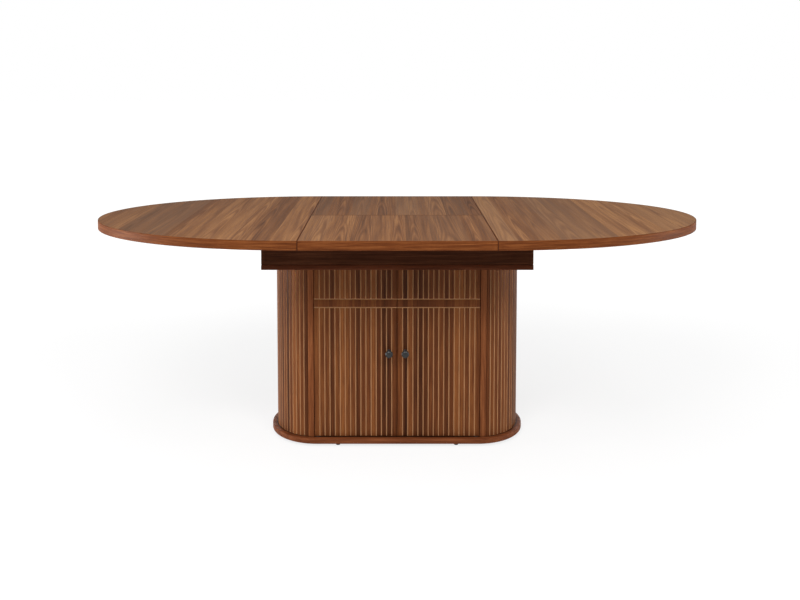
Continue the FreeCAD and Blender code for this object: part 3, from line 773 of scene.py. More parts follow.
HARDWARE = {
    "hinge_brass": Metal(paint(118, 84, 46), paint(78, 56, 34), 0.5),
    "carrier_steel": Moulded(paint(30, 30, 31), paint(46, 46, 47), 0.55),
    "rail_aluminium": Metal(paint(190, 190, 192), paint(165, 166, 169), 0.38),
    "bright_steel": Metal(paint(178, 178, 182), paint(150, 151, 156), 0.32),
    "black_metal": Moulded(paint(8, 9, 10), paint(20, 22, 22), 0.34, pebble=0.0005, relief=0.00002),
    "black_plastic": Moulded(paint(22, 22, 22), paint(40, 40, 40), 0.6),
    "white_nylon": Moulded(paint(216, 213, 203), paint(196, 192, 180), 0.5),
    "grey_rubber": Moulded(paint(58, 58, 58), paint(76, 76, 76), 0.8),
}


# Shape tools

# How many easing radii a flat face's own ring lies in from the edge.
FLAT_INSET = 4.0
# A direction that no turned piece's axis follows.
ASKEW = np.array([0.6, 0.64, 0.48])


@dataclass
class Skin:
    """A closed surface and what the materials read on it.

    Attributes:
        points: Places in metres, one row per point.
        faces: Point numbers of each face.
        run: Run along the surface and height at each point, for the UV map.
        groove: Depth in a groove at each point, from 0 on the face to 1 at the bottom.
    """

    points: np.ndarray
    faces: list[list[int]]
    run: Optional[np.ndarray] = None
    groove: Optional[np.ndarray] = None

    def piece(self, name: str, crease: float = 34.0) -> bpy.types.Object:
        """Make the mesh object.

        Args:
            name: Name of the piece.
            crease: Angle in degrees past which an edge stays sharp.

        Returns:
            The object, at the origin with its place in its mesh.
        """
        mesh = bpy.data.meshes.new(name)
        mesh.from_pydata(self.points.tolist(), [], self.faces)
        work = bmesh.new()
        work.from_mesh(mesh)
        bmesh.ops.recalc_face_normals(work, faces=work.faces)
        work.to_mesh(mesh)
        work.free()
        if self.run is not None:
            corner_points = np.empty(len(mesh.loops), dtype=np.int32)
            mesh.loops.foreach_get("vertex_index", corner_points)
            layer = mesh.uv_layers.new(name="run")
            layer.uv.foreach_set("vector", self.run[corner_points].astype(np.float32).ravel())
        if self.groove is not None:
            depth = mesh.attributes.new("groove", "FLOAT", "POINT")
            depth.data.foreach_set("value", self.groove.astype(np.float32))
        mesh.polygons.foreach_set("use_smooth", np.ones(len(mesh.polygons), dtype=bool))
        mesh.set_sharp_from_angle(angle=math.radians(crease))
        mesh.update()
        thing = bpy.data.objects.new(name, mesh)
        bpy.context.scene.collection.objects.link(thing)
        return thing


class Plane(Enum):
    """How an outline lies; the value gives the axes of its two directions and of the thickness."""

    PLAN = (0, 1, 2)
    FRONT = (0, 2, 1)
    SIDE = (1, 2, 0)


def lofted(rings: np.ndarray) -> Skin:
    """Closed skin through a stack of closed rings, with a flat cap on the first and the last.

    Args:
        rings: Points of shape (rings, points in a ring, 3).

    Returns:
        The skin.
    """
    number = np.arange(rings.shape[0] * rings.shape[1]).reshape(rings.shape[:2])
    ahead = np.roll(number, -1, axis=1)
    quads = np.stack([number[:-1], ahead[:-1], ahead[1:], number[1:]], axis=-1).reshape(-1, 4)
    faces = quads.tolist() + [number[0, ::-1].tolist(), number[-1].tolist()]
    return Skin(rings.reshape(-1, 3), faces)


def joined(skins: list[Skin]) -> Skin:
    """One skin of several separate ones.

    Args:
        skins: Skins with points and faces alone.

    Returns:
        The skin, with each one's face numbers moved past the points before it.
    """
    starts = np.cumsum([0] + [len(skin.points) for skin in skins[:-1]])
    faces = [[int(start) + i for i in face] for skin, start in zip(skins, starts) for face in skin.faces]
    return Skin(np.concatenate([skin.points for skin in skins]), faces)


def inward(outline: np.ndarray) -> np.ndarray:
    """Mitre of each corner of a counter-clockwise outline.

    The mitre is the sum of the two neighbouring sides' inward normals over one plus their dot
    product, so that a step of d along it moves both sides in by d.

    Args:
        outline: Corners of shape (points, 2).

    Returns:
        The mitres, in the same shape.
    """
    side = np.roll(outline, -1, axis=0) - outline
    side = side / np.linalg.norm(side, axis=1, keepdims=True)
    normal = np.stack([-side[:, 1], side[:, 0]], axis=1)
    before = np.roll(normal, 1, axis=0)
    return (normal + before) / (1 + (normal * before).sum(axis=1, keepdims=True))


def softened(outline: np.ndarray, radius: float, steps: int = 4) -> np.ndarray:
    """Outline with each corner replaced by a short parabola that starts a radius away from it.

    Args:
        outline: Corners of shape (points, 2).
        radius: How far from the corner the curve starts.
        steps: Points in each curve.

    Returns:
        The new outline.
    """
    ahead = np.roll(outline, -1, axis=0) - outline
    ahead = ahead / np.linalg.norm(ahead, axis=1, keepdims=True)
    start = outline - np.roll(ahead, 1, axis=0) * radius
    end = outline + ahead * radius
    t = np.linspace(0, 1, steps)[None, :, None]
    curve = start[:, None] * (1 - t) ** 2 + outline[:, None] * 2 * t * (1 - t) + end[:, None] * t ** 2
    return curve.reshape(-1, 2)


def flipped(outline: np.ndarray, axis: int) -> np.ndarray:
    """Outline mirrored on one of its directions, still counter-clockwise.

    Args:
        outline: Corners of shape (points, 2).
        axis: The direction whose sign changes.

    Returns:
        The mirrored outline.
    """
    sign = np.ones(2)
    sign[axis] = -1
    return (outline * sign)[::-1]


def far_end(rows: np.ndarray, end: float) -> np.ndarray:
    """Rows of place and drop, repeated in mirror image at the end of a run."""
    return np.stack([end - rows[::-1, 0], rows[::-1, 1]], axis=1)


def eased(low: float, high: float, ease: float, steps: int = 3) -> np.ndarray:
    """Edge profile of a board, as inset and level: quarter circles between the flat faces and the edge.

    Args:
        low: Level of the lower face.
        high: Level of the upper face.
        ease: Radius of both quarter circles.
        steps: Steps in each.

    Returns:
        Rows of inset and level from the lower face to the upper.
    """
    turn = np.linspace(0, math.pi / 2, steps + 1)
    lower = np.stack([ease * (1 - np.sin(turn)), low + ease * (1 - np.cos(turn))], axis=1)
    upper = np.stack([lower[::-1, 0], high + low - lower[::-1, 1]], axis=1)
    flat = np.array([[ease * FLAT_INSET, low], [ease * FLAT_INSET, high]])
    return np.concatenate([flat[:1], lower, upper, flat[1:]])


def board(outline: np.ndarray, low: float, high: float, ease: float, plane: Plane = Plane.PLAN) -> Skin:
    """Board with eased edges: the outline moved in by each inset of its edge profile, at each level.

    Args:
        outline: Counter-clockwise corners of shape (points, 2).
        low: Where the thickness starts.
        high: Where it ends.
        ease: Radius of the edges; 0 leaves them square.
        plane: How the outline lies.

    Returns:
        The closed skin.
    """
    profile = eased(low, high, ease) if ease else np.array([[0, low], [0, high]])
    flat = outline[None] + profile[:, :1, None] * inward(outline)[None]
    level = np.broadcast_to(profile[:, 1, None, None], (*flat.shape[:2], 1))
    stacked = np.concatenate([flat, level], axis=2)
    return lofted(stacked[:, :, np.argsort(plane.value)])


def rectangle(x0: float, x1: float, y0: float, y1: float) -> np.ndarray:
    """Corners of a rectangle, counter-clockwise."""
    return np.array([[x0, y0], [x1, y0], [x1, y1], [x0, y1]])


def turned(profile: np.ndarray, centre: Triple, outward: Triple, steps: int = 48) -> Skin:
    """Turned piece: each profile row of radius and height is a circle round the axis.

    Args:
        profile: Rows of radius and height.
        centre: Where the axis starts.
        outward: Direction of the axis.
        steps: Points round each circle.

    Returns:
        The closed skin.
    """
    axis = np.array(outward)
    first = np.cross(axis, ASKEW)
    first = first / np.linalg.norm(first)
    second = np.cross(axis, first)
    angle = np.linspace(0, 2 * math.pi, steps, endpoint=False)[None, :, None]
    circle = first * np.cos(angle) + second * np.sin(angle)
    return lofted(np.array(centre) + profile[:, 1, None, None] * axis + profile[:, 0, None, None] * circle)


@dataclass(frozen=True)
class Groove:
    """V groove between slats with softened lips, given by half its section as shares of width and depth."""

    width: float = 0.004
    depth: float = 0.003
    half_section: tuple[Pair, ...] = ((0.62, 0.0), (0.5, 0.05), (0.38, 0.22), (0.06, 1.0))
    face_places: Triple = (0.3, 0.5, 0.7)

    def section(self) -> np.ndarray:
        """Rows of place across the groove and drop below the face."""
        half = np.array(self.half_section) * [self.width, self.depth]
        return np.concatenate([half * [-1, 1], half[::-1]])

    def row(self, centres: np.ndarray) -> np.ndarray:
        """Grooves side by side.

        Args:
            centres: Place of each groove's middle.

        Returns:
            Rows of place and drop.
        """
        section = self.section()
        across = centres[:, None] + section[None, :, 0]
        drop = np.broadcast_to(section[None, :, 1], across.shape)
        return np.stack([across.ravel(), drop.ravel()], axis=1)

    def slats(self, count: int, pitch: float) -> np.ndarray:
        """Run of slats, with a groove at each whole pitch and three places on each slat's face.

        Args:
            count: Number of slats.
            pitch: Width of a slat with its groove.

        Returns:
            Rows of place and drop, in order.
        """
        cuts = self.row(pitch * np.arange(1, count))
        face = (np.arange(count)[:, None] + np.array(self.face_places)[None]).ravel() * pitch
        rows = np.concatenate([cuts, np.stack([face, np.zeros_like(face)], axis=1)])
        return rows[np.argsort(rows[:, 0])]


def relief_panel(across: np.ndarray, up: np.ndarray, front: np.ndarray, back: float) -> Skin:
    """Panel whose front is a height field over X and Z, closed by straight edges and a flat back.

    Args:
        across: X of the columns.
        up: Z of the rows.
        front: Y of the front at each row and column.
        back: Y of the back.

    Returns:
        The closed skin, with the front's points first.
    """
    number = np.arange(front.size).reshape(front.shape)
    x, z = np.meshgrid(across, up)
    grid = np.stack([x, front, z], axis=-1).reshape(-1, 3)
    quads = np.stack([number[:-1, :-1], number[:-1, 1:], number[1:, 1:], number[1:, :-1]], axis=-1)
    rim = np.concatenate([number[0, :-1], number[:-1, -1], number[-1, :0:-1], number[:0:-1, 0]])
    behind = front.size + np.arange(len(rim))
    edge = grid[rim] * [1, 0, 1] + [0, back, 0]
    sides = np.stack([rim, np.roll(rim, -1), np.roll(behind, -1), behind], axis=-1)
    faces = quads.reshape(-1, 4).tolist() + sides.tolist() + [behind.tolist()]
    return Skin(np.concatenate([grid, edge]), faces)


# Ties to the frame


def corners(node: str) -> tuple[np.ndarray, np.ndarray]:
    """Lowest and highest corner of a CAD node, in metres."""
    low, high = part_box(node)
    return np.array(low), np.array(high)


def stand_in(skin: Skin, material: bpy.types.Material, node: str) -> None:
    """Put a new piece in place of a CAD node.

    Args:
        skin: Its surface.
        material: Its finish.
        node: The CAD node, which gives the piece its body.
    """
    thing = skin.piece(node + "_skin")
    thing.data.materials.append(material)
    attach(thing, body_of(frame["nodes"][node])[0])
    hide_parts(node)
    log.info("%s: %d faces", thing.name, len(thing.data.polygons))


def dress(node: str, material: bpy.types.Material) -> None:
    """Give a CAD node that stays in view its finish.

    Args:
        node: The CAD node.
        material: Its finish.
    """
    mesh = frame["nodes"][node].data
    mesh.materials.clear()
    mesh.materials.append(material)
    log.info("%s: %s", node, material.name)


# Sub-assemblies


@dataclass(frozen=True)
class TopBoard:
    """A board of the top: names and seeds of its panel and band, its side, its tone and share of grey."""

    panel: str
    band: str
    side: int
    panel_seed: float
    band_seed: float
    shift: float
    grey_share: float = 0.4


@dataclass
class TableTop:
    """The two half ovals, the two leaf flaps between them and their edge bands.

    A band's run starts at curved_run or straight_run to its side of 0, so no two bands look alike.
    """

    halves: tuple[TopBoard, ...] = (
        TopBoard("left_top", "left_edge", -1, 3.0, 1.0, -0.02),
        TopBoard("right_top", "right_edge", 1, 4.0, 2.0, 0.11),
    )
    flaps: tuple[TopBoard, ...] = (
        TopBoard("leaf_front", "leaf_front_edge", -1, 6.0, 4.0, -0.03, 0.2),
        TopBoard("leaf_back", "leaf_back_edge", 1, 7.0, 5.0, -0.12),
    )
    rim_steps: int = 200
    band_steps: int = 9
    board_ease: float = 0.0005
    flap_ease: float = 0.0006
    band_ease: float = 0.001
    hinge_width: float = 0.0062
    hinge_mouth: float = 0.0114
    end_reveal: float = 0.00005
    curved_run: float = 1.0
    straight_run: float = 5.0

    def __post_init__(self) -> None:
        """Read the halves' sizes from the frame."""
        low, high = corners("right_edge_band")
        self.low, self.high = low[2], high[2]
        self.inner, self.outer, self.half_width = low[0], high[0], high[1]
        self.band = self.outer - corners("right_top_panel")[1][0]
        self.leaf_half = corners("leaf_front_panel")[1][0]
        self.seam_edge = corners("leaf_back_panel")[0][1]

    def rim(self, inset: np.ndarray) -> np.ndarray:
        """Curved edge of the right half, moved in by each inset.

        The edge is half an ellipse: x is the flat side plus the reach times the cosine, y is the half
        width times the sine, from -90 to 90 degrees.

        Args:
            inset: Insets of shape (sections,).

        Returns:
            Plan points of shape (steps, sections, 2).
        """
        angle = np.linspace(-math.pi / 2, math.pi / 2, self.rim_steps)[:, None]
        x = self.inner + (self.outer - self.inner - inset[None]) * np.cos(angle)
        y = (self.half_width - inset[None]) * np.sin(angle)
        return np.stack([x, y], axis=2)

    def band_section(self) -> np.ndarray:
        """Section of a band, as inset and level.

        Returns:
            Rows from its lower inner corner, round the eased outside, to its upper inner corner.
        """
        rounded = eased(self.low, self.high, self.band_ease)[1:-1]
        inner = np.array([[self.band, self.low], [self.band, self.high]])
        return np.concatenate([inner[:1], rounded, inner[1:]])

    def curved_band(self, side: int) -> Skin:
        """Band round a half: its section carried along the curved edge, with the run added up along it.

        Args:
            side: 1 for the right-hand half, -1 for the left.

        Returns:
            The closed skin with its run and height.
        """
        section = self.band_section()
        plan = self.rim(section[:, 0])
        level = np.broadcast_to(section[None, :, 1:], (*plan.shape[:2], 1))
        outer = self.rim(np.zeros(1))[:, 0]
        step = np.linalg.norm(np.diff(outer, axis=0), axis=1)
        run = np.broadcast_to(np.concatenate([[0], np.cumsum(step)])[:, None, None], level.shape)
        skin = lofted(np.concatenate([plan, level], axis=2) * [side, 1, 1])
        skin.run = np.concatenate([run + side * self.curved_run, level], axis=2).reshape(-1, 2)
        return skin

    def straight_band(self, side: int) -> Skin:
        """Band along a leaf flap's outer edge: the same section carried along X.

        Args:
            side: 1 for the back flap, -1 for the front.

        Returns:
            The closed skin with its run and height.
        """
        section = self.band_section()
        shape = (self.band_steps, len(section))
        x = np.broadcast_to(np.linspace(-self.leaf_half, self.leaf_half, self.band_steps)[:, None], shape)
        y = np.broadcast_to(side * (self.half_width - section[None, :, 0]), shape)
        z = np.broadcast_to(section[None, :, 1], shape)
        skin = lofted(np.stack([x, y, z], axis=2))
        skin.run = np.stack([x + side * self.straight_run, z], axis=2).reshape(-1, 2)
        return skin

    def half(self, side: int) -> Skin:
        """Board of one half: the curved edge inside the band, closed by the straight side.

        Args:
            side: 1 for the right-hand half, -1 for the left.

        Returns:
            The closed skin.
        """
        outline = self.rim(np.array([self.band]))[:, 0]
        outline = outline if side > 0 else flipped(outline, 0)
        return board(outline, self.low, self.high, self.board_ease)

    def flap(self, side: int) -> Skin:
        """Board of one leaf flap, notched at the seam's ends for the hinge knuckles.

        Args:
            side: 1 for the back flap, -1 for the front.

        Returns:
            The closed skin.
        """
        end = self.leaf_half - self.end_reveal
        neck = self.leaf_half - self.hinge_width
        mouth = self.hinge_mouth
        outer = self.half_width - self.band
        back = np.array([
            [end, outer], [-end, outer], [-end, mouth], [-neck, mouth],
            [-neck, self.seam_edge], [neck, self.seam_edge], [neck, mouth], [end, mouth],
        ])
        return board(back if side > 0 else flipped(back, 1), self.low, self.high, self.flap_ease)

    def dress_board(self, part: TopBoard, panel: Skin, band: Skin, seam_x: float,
                    seam_y: Optional[float] = None) -> None:
        """Put a board and its band in place in their veneers.

        Args:
            part: Which board it is.
            panel: Skin of its panel.
            band: Skin of its band.
            seam_x: How far from the middle its seam across the table lies.
            seam_y: Where its seam along the table lies, if it has one.
        """
        wood = replace(TOP_WOOD, seed=part.panel_seed)
        veneer = PlankVeneer(wood, seam_x, seam_y, part.shift, part.grey_share)
        stand_in(panel, veneer.material(f"{part.panel}_veneer"), f"{part.panel}_panel")
        edge = EdgeBand(replace(EDGE_WOOD, seed=part.band_seed), self.low, self.high)
        stand_in(band, edge.material(f"{part.band}_veneer"), f"{part.band}_band")

    def build(self) -> None:
        """Make and dress the halves, the flaps and their bands."""
        for part in self.halves:
            self.dress_board(part, self.half(part.side), self.curved_band(part.side), self.inner)
        for part in self.flaps:
            self.dress_board(part, self.flap(part.side), self.straight_band(part.side), self.leaf_half, 0.0)


@dataclass
class ApronTray:
    """Dark boards under the top that hold the slides and the stowed leaf."""

    ease: float = 0.003
    notch_depth: float = 0.015
    notch_height: float = 0.0235

    def notched(self, low: np.ndarray, high: np.ndarray) -> np.ndarray:
        """Outline of an end board, cut away at its upper corners where the slides pass.

        Args:
            low: Lowest corner of the board.
            high: Highest corner.

        Returns:
            Corners in Y and Z, counter-clockwise.
        """
        step = high[2] - self.notch_height
        side = high[1] - self.notch_depth
        return np.array([
            [low[1], low[2]], [high[1], low[2]], [high[1], step], [side, step],
            [side, high[2]], [-side, high[2]], [-side, step], [low[1], step],
        ])

    def build(self) -> None:
        """Make and dress the four boards and the tray's floor."""
        lengthwise = PlainBoard(APRON_WOOD, Grain.ALONG_X).material("apron_stain")
        crosswise = PlainBoard(APRON_WOOD, Grain.ALONG_Y).material("apron_end_stain")
        for node in ("apron_front", "apron_back"):
            low, high = corners(node)
            outline = rectangle(low[0], high[0], low[2], high[2])
            stand_in(board(outline, low[1], high[1], self.ease, Plane.FRONT), lengthwise, node)
        for node in ("apron_left", "apron_right"):
            low, high = corners(node)
            stand_in(board(self.notched(low, high), low[0], high[0], self.ease, Plane.SIDE), crosswise, node)
        low, high = corners("tray_floor")
        outline = rectangle(low[0], high[0], low[1], high[1])
        floor = PlainBoard(TRAY_WOOD, Grain.ALONG_X).material("tray_stain")
        stand_in(board(outline, low[2], high[2], self.ease), floor, "tray_floor")


@dataclass
class Pedestal:
    """Plinth, stiles, curved fluted ends, fluted back, shelf and feet.

    The ends' slats are numbered from end_first, moved by end_apart to either side, and the back's
    from back_first, so no two faces share their tones.
    """

    groove: Groove = Groove()
    end_slats: int = 28
    back_slats: int = 32
    back_rows: int = 9
    end_first: float = 200.0
    end_apart: float = 50.0
    back_first: float = 400.0
    wall: float = 0.012
    stile_ease: float = 0.0012
    stile_points: int = 4
    edge_ease: float = 0.0015
    reveal: float = 0.0022
    reveal_shares: Pair = (0.6, 0.2)
    arc_steps: int = 72
    shelf_ease: float = 0.001
    foot_radius: float = 0.008
    foot_core: float = 0.002
    foot_round: tuple[Pair, ...] = ((0.0062, 0.0), (0.0071, 0.0004), (0.0078, 0.0012), (0.008, 0.0022))
    foot_inset: float = 0.0735
    foot_steps: int = 32

    def __post_init__(self) -> None:
        """Read the pedestal's sizes from the frame."""
        low, high = corners("right_fluted_end")
        self.low, self.high = low[2], high[2]
        self.stile = low[0]
        self.radius = corners("fluted_back")[1][1]
        self.arc_centre = high[0] - self.radius

    def on_arc(self, radius: Union[float, np.ndarray], angle: np.ndarray) -> np.ndarray:
        """Plan points round the right-hand end, with the angle measured from the front."""
        return np.stack([self.arc_centre + radius * np.sin(angle), -radius * np.cos(angle)], axis=1)

    def curved_end(self, side: int) -> Skin:
        """Curved wall: slats along the arc, with the groove's drop taken off the radius.

        The outline runs along the fluted face from the front stile to the back one and returns along
        the inner arc. Next to each stile the face falls away in a narrow reveal.

        Args:
            side: 1 for the right-hand end, -1 for the left.

        Returns:
            The closed skin with slat numbers and groove depths.
        """
        start = math.asin((self.stile - self.arc_centre) / self.radius)
        pitch = (math.pi - 2 * start) / self.end_slats
        rows = self.groove.slats(self.end_slats, pitch * self.radius)
        reveal = np.array([[0.0, 1.0], self.reveal_shares, [1.0, 0.0]]) * self.reveal
        closing = far_end(reveal, self.end_slats * pitch * self.radius)
        face = np.concatenate([reveal, rows, closing])
        outer = self.on_arc(self.radius - face[:, 1], start + face[:, 0] / self.radius)
        inner_radius = self.radius - self.wall
        inner_start = math.asin((self.stile - self.arc_centre) / inner_radius)
        inner_angle = np.linspace(math.pi - inner_start, inner_start, self.arc_steps)
        outline = np.concatenate([outer, self.on_arc(inner_radius, inner_angle)])
        skin = board(outline, self.low, self.high, 0.0)
        skin.points = skin.points * [side, 1, 1]
        slat = np.concatenate([face[:, 0] / (pitch * self.radius), inner_angle / pitch])
        slat = slat + self.end_first + self.end_apart * side
        height = np.repeat([self.low, self.high], len(outline))
        skin.run = np.stack([np.tile(slat, 2), height], axis=1)
        drop = np.zeros(len(outline))
        drop[len(reveal):][:len(rows)] = rows[:, 1]
        skin.groove = np.tile(drop / self.groove.depth, 2)
        return skin

    def back_panel(self) -> Skin:
        """Fluted back: vertical grooves over its whole height, facing +Y.

        Its face is a plane less the groove's drop at each place across.

        Returns:
            The closed skin with slat numbers and groove depths.
        """
        low, high = corners("fluted_back")
        width = high[0] - low[0]
        pitch = width / self.back_slats
        ends = np.array([[0.0, 0.0], [width, 0.0]])
        rows = np.concatenate([ends[:1], self.groove.slats(self.back_slats, pitch), ends[1:]])
        up = np.linspace(low[2], high[2], self.back_rows)
        front = np.broadcast_to(high[1] - rows[None, :, 1], (len(up), len(rows)))
        skin = relief_panel(low[0] + rows[:, 0], up, front, low[1])
        slat = (skin.points[:, 0] - low[0]) / pitch + self.back_first
        skin.run = np.stack([slat, skin.points[:, 2]], axis=1)
        skin.groove = (high[1] - skin.points[:, 1]) / self.groove.depth
        skin.groove[front.size:] = 0.0
        return skin

    def stile_panel(self, node: str) -> Skin:
        """Side panel: a board on edge whose front and back follow the pedestal's curve.

        They lie a radius from the middle; past the arc's centre it is the root of the radius squared
        less the square of the way past.

        Args:
            node: CAD node of the panel.

        Returns:
            The closed skin.
        """
        low, high = corners(node)
        near, far = sorted([abs(low[0]), abs(high[0])])
        x = np.linspace(near, far, self.stile_points)
        y = np.sqrt(self.radius ** 2 - np.maximum(x - self.arc_centre, 0) ** 2)
        outline = np.concatenate([np.stack([x, -y], axis=1), np.stack([x, y], axis=1)[::-1]])
        outline = softened(outline if low[0] > 0 else flipped(outline, 0), self.stile_ease)
        return board(outline, low[2], high[2], 0.0)

    def plinth_board(self) -> Skin:
        """Plinth: a stadium outline, two half circles joined by straight sides, with eased edges.

        Returns:
            The closed skin.
        """
        low, high = corners("plinth")
        radius = high[1]
        turn = np.linspace(-math.pi / 2, math.pi / 2, self.arc_steps)
        right = np.stack([high[0] - radius + radius * np.cos(turn), radius * np.sin(turn)], axis=1)
        return board(np.concatenate([right, -right]), low[2], high[2], self.edge_ease)

    def feet(self) -> Skin:
        """Round glides under the plinth: four along its sides and one at each end.

        Returns:
            The closed skins as one.
        """
        end, side, _ = corners("feet")[1] - self.foot_radius
        along = self.arc_centre - self.foot_inset
        pairs = [(x, y) for x in (-along, along) for y in (-side, side)]
        places = [(-end, 0.0), *pairs, (end, 0.0)]
        top = corners("plinth")[0][2]
        underside = [(self.foot_core, 0.0), *self.foot_round]
        profile = np.array([*underside, (self.foot_radius, top), (self.foot_core, top)])
        return joined([turned(profile, (x, y, 0.0), (0.0, 0.0, 1.0), self.foot_steps) for x, y in places])

    def build(self) -> None:
        """Make and dress the pedestal's boards and feet."""
        fluted = FlutedFace(SLAT_WOOD, GROOVE_HIGHLIGHT_PAINT, math.pi * self.radius / self.end_slats)
        for node, side in (("left_fluted_end", -1), ("right_fluted_end", 1)):
            stand_in(self.curved_end(side), fluted.material(f"{node}_veneer"), node)
        stand_in(self.back_panel(), fluted.material("back_veneer"), "fluted_back")
        stile = PlainBoard(STILE_WOOD, Grain.ALONG_Z).material("stile_veneer")
        for node in ("left_side_panel", "right_side_panel"):
            stand_in(self.stile_panel(node), stile, node)
        plinth = PlinthBoard(PLINTH_WOOD, self.arc_centre, self.radius)
        stand_in(self.plinth_board(), plinth.material("plinth_veneer"), "plinth")
        inner = PlainBoard(INNER_WOOD, Grain.ALONG_X)
        low, high = corners("shelf")
        shelf = board(rectangle(low[0], high[0], low[1], high[1]), low[2], high[2], self.shelf_ease)
        stand_in(shelf, inner.material("shelf_veneer"), "shelf")
        stand_in(self.feet(), HARDWARE["black_plastic"].material("feet_plastic"), "feet")
        for node in ("end_formers", "corner_blocks"):
            dress(node, inner.material(f"{node}_board"))


@dataclass
class Doors:
    """The two fluted doors and their knobs.

    The rim of a knob's base is given as radius past the base's and height.
    """

    groove: Groove = Groove()
    slats: int = 16
    band: Pair = (0.479, 0.508)
    ease: float = 0.0012
    ease_share: float = 0.3
    row_margin: float = 0.02
    rows_below: int = 7
    rows_above: int = 3
    knob_core: float = 0.002
    knob_base: float = 0.008
    knob_base_height: float = 0.002
    knob_base_rim: tuple[Pair, ...] = ((-0.0004, 0.0), (0.0, 0.0005), (0.0, 0.0013))
    knob_stem: float = 0.0055
    knob_neck: float = 0.019
    knob_dome: float = 0.007
    knob_tip: float = 0.0008
    knob_steps: int = 12

    def flat_rows(self, low: float, high: float, count: int) -> np.ndarray:
        """Rows of level without a drop, a margin away from both ends."""
        level = np.linspace(low + self.row_margin, high - self.row_margin, count)
        return np.stack([level, np.zeros(count)], axis=1)

    def panel(self, node: str) -> Skin:
        """Door: vertical grooves above and below a plain band that two horizontal grooves bound.

        The drop at a point is the greatest of the vertical groove's, which counts outside the band
        only, the horizontal groove's and the eased edge's.

        Args:
            node: CAD node of the door.

        Returns:
            The closed skin with slat numbers and groove depths.
        """
        low, high = corners(node)
        width = high[0] - low[0]
        pitch = width / self.slats
        edge = np.array([[0.0, 1.0], [self.ease_share, self.ease_share], [1.0, 0.0]]) * self.ease
        columns = np.concatenate([edge, self.groove.slats(self.slats, pitch), far_end(edge, width)])
        cuts = self.groove.row(np.array(self.band))
        below = self.flat_rows(low[2], self.band[0], self.rows_below)
        above = self.flat_rows(self.band[1], high[2], self.rows_above)
        lower = np.concatenate([edge + [low[2], 0], below])
        levels = np.concatenate([lower, cuts, above, far_end(edge, high[2])])
        grooves = columns[:, 1].copy()
        grooves[:len(edge)] = 0.0
        grooves[-len(edge):] = 0.0
        outside = (levels[:, 0] < self.band[0]) | (levels[:, 0] > self.band[1])
        vertical = grooves[None] * outside[:, None]
        drop = np.maximum(np.maximum(vertical, (columns[:, 1] - grooves)[None]), levels[:, 1:])
        skin = relief_panel(low[0] + columns[:, 0], levels[:, 0], low[1] + drop, high[1])
        first = 0 if low[0] < 0 else self.slats
        skin.run = np.stack([(skin.points[:, 0] - low[0]) / pitch + first, skin.points[:, 2]], axis=1)
        horizontal = np.zeros(len(levels))
        horizontal[len(lower):][:len(cuts)] = cuts[:, 1]
        skin.groove = np.zeros(len(skin.points))
        skin.groove[:drop.size] = np.maximum(vertical, horizontal[:, None]).ravel() / self.groove.depth
        return skin

    def knob(self, node: str) -> Skin:
        """Mushroom knob turned about Y: a foot ring, a hollow to the stem, a flare and a dome.

        Hollow, flare and dome are quarters of ellipses, each a sine and a cosine of one turn.

        Args:
            node: CAD node of the knob.

        Returns:
            The closed skin.
        """
        low, high = corners(node)
        middle = (low + high) / 2
        radius = (high[0] - low[0]) / 2
        shoulder = high[1] - low[1] - self.knob_dome
        turn = np.linspace(0, math.pi / 2, self.knob_steps)
        rim = np.array(self.knob_base_rim) + [self.knob_base, 0]
        foot = np.concatenate([[[self.knob_core, 0.0]], rim])
        step = self.knob_base - self.knob_stem
        hollow = np.stack([self.knob_base - step * np.sin(turn),
                           self.knob_base_height + step * (1 - np.cos(turn))], axis=1)
        flare = np.stack([self.knob_stem + (radius - self.knob_stem) * np.sin(turn),
                          shoulder - (shoulder - self.knob_neck) * np.cos(turn)], axis=1)
        dome = np.stack([radius * np.cos(turn), shoulder + self.knob_dome * np.sin(turn)], axis=1)[1:]
        dome[-1, 0] = self.knob_tip
        profile = np.concatenate([foot, hollow, flare, dome])
        return turned(profile, (middle[0], high[1], middle[2]), (0.0, -1.0, 0.0))

    def build(self) -> None:
        """Make and dress the doors and knobs."""
        for side in ("left", "right"):
            panel, knob = f"{side}_door_panel", f"{side}_knob"
            low, high = corners(panel)
            pitch = (high[0] - low[0]) / self.slats
            fluted = FlutedFace(SLAT_WOOD, GROOVE_HIGHLIGHT_PAINT, pitch, self.band, meeting=self.slats)
            stand_in(self.panel(panel), fluted.material(f"{side}_door_veneer"), panel)
            stand_in(self.knob(knob), HARDWARE["black_metal"].material(f"{knob}_black"), knob)


@dataclass
class Fittings:
    """Hinges, arms, slides, screws and other hardware, which keep their CAD shapes."""

    finishes: dict[str, Finish]

    def build(self) -> None:
        """Dress every CAD node whose slot is one of the finishes."""
        made = {slot: finish.material(slot) for slot, finish in self.finishes.items()}
        for part in frame["record"]["subparts"]:
            node = frame["nodes"][part["node"]]
            if part["material_slot"] in made and not node.hide_render:
                dress(part["node"], made[part["material_slot"]])


@dataclass(frozen=True)
class Lamp:
    """Square soft lamp."""

    name: str
    place: Triple
    size: float
    power: float

    def build(self, aim: Triple) -> None:
        """Hang the lamp so that it faces a point.

        It tips from straight down by the angle whose tangent is the distance across over the
        distance down, and turns towards the point.

        Args:
            aim: The point that it faces.
        """
        data = bpy.data.lights.new(self.name, "AREA")
        data.size = self.size
        data.energy = self.power
        x, y, z = (np.array(aim) - self.place).tolist()
        lamp = bpy.data.objects.new(self.name, data)
        lamp.location = self.place
        lamp.rotation_euler = (math.atan2(math.hypot(x, y), -z), 0, math.atan2(-x, y))
        bpy.context.scene.collection.objects.link(lamp)


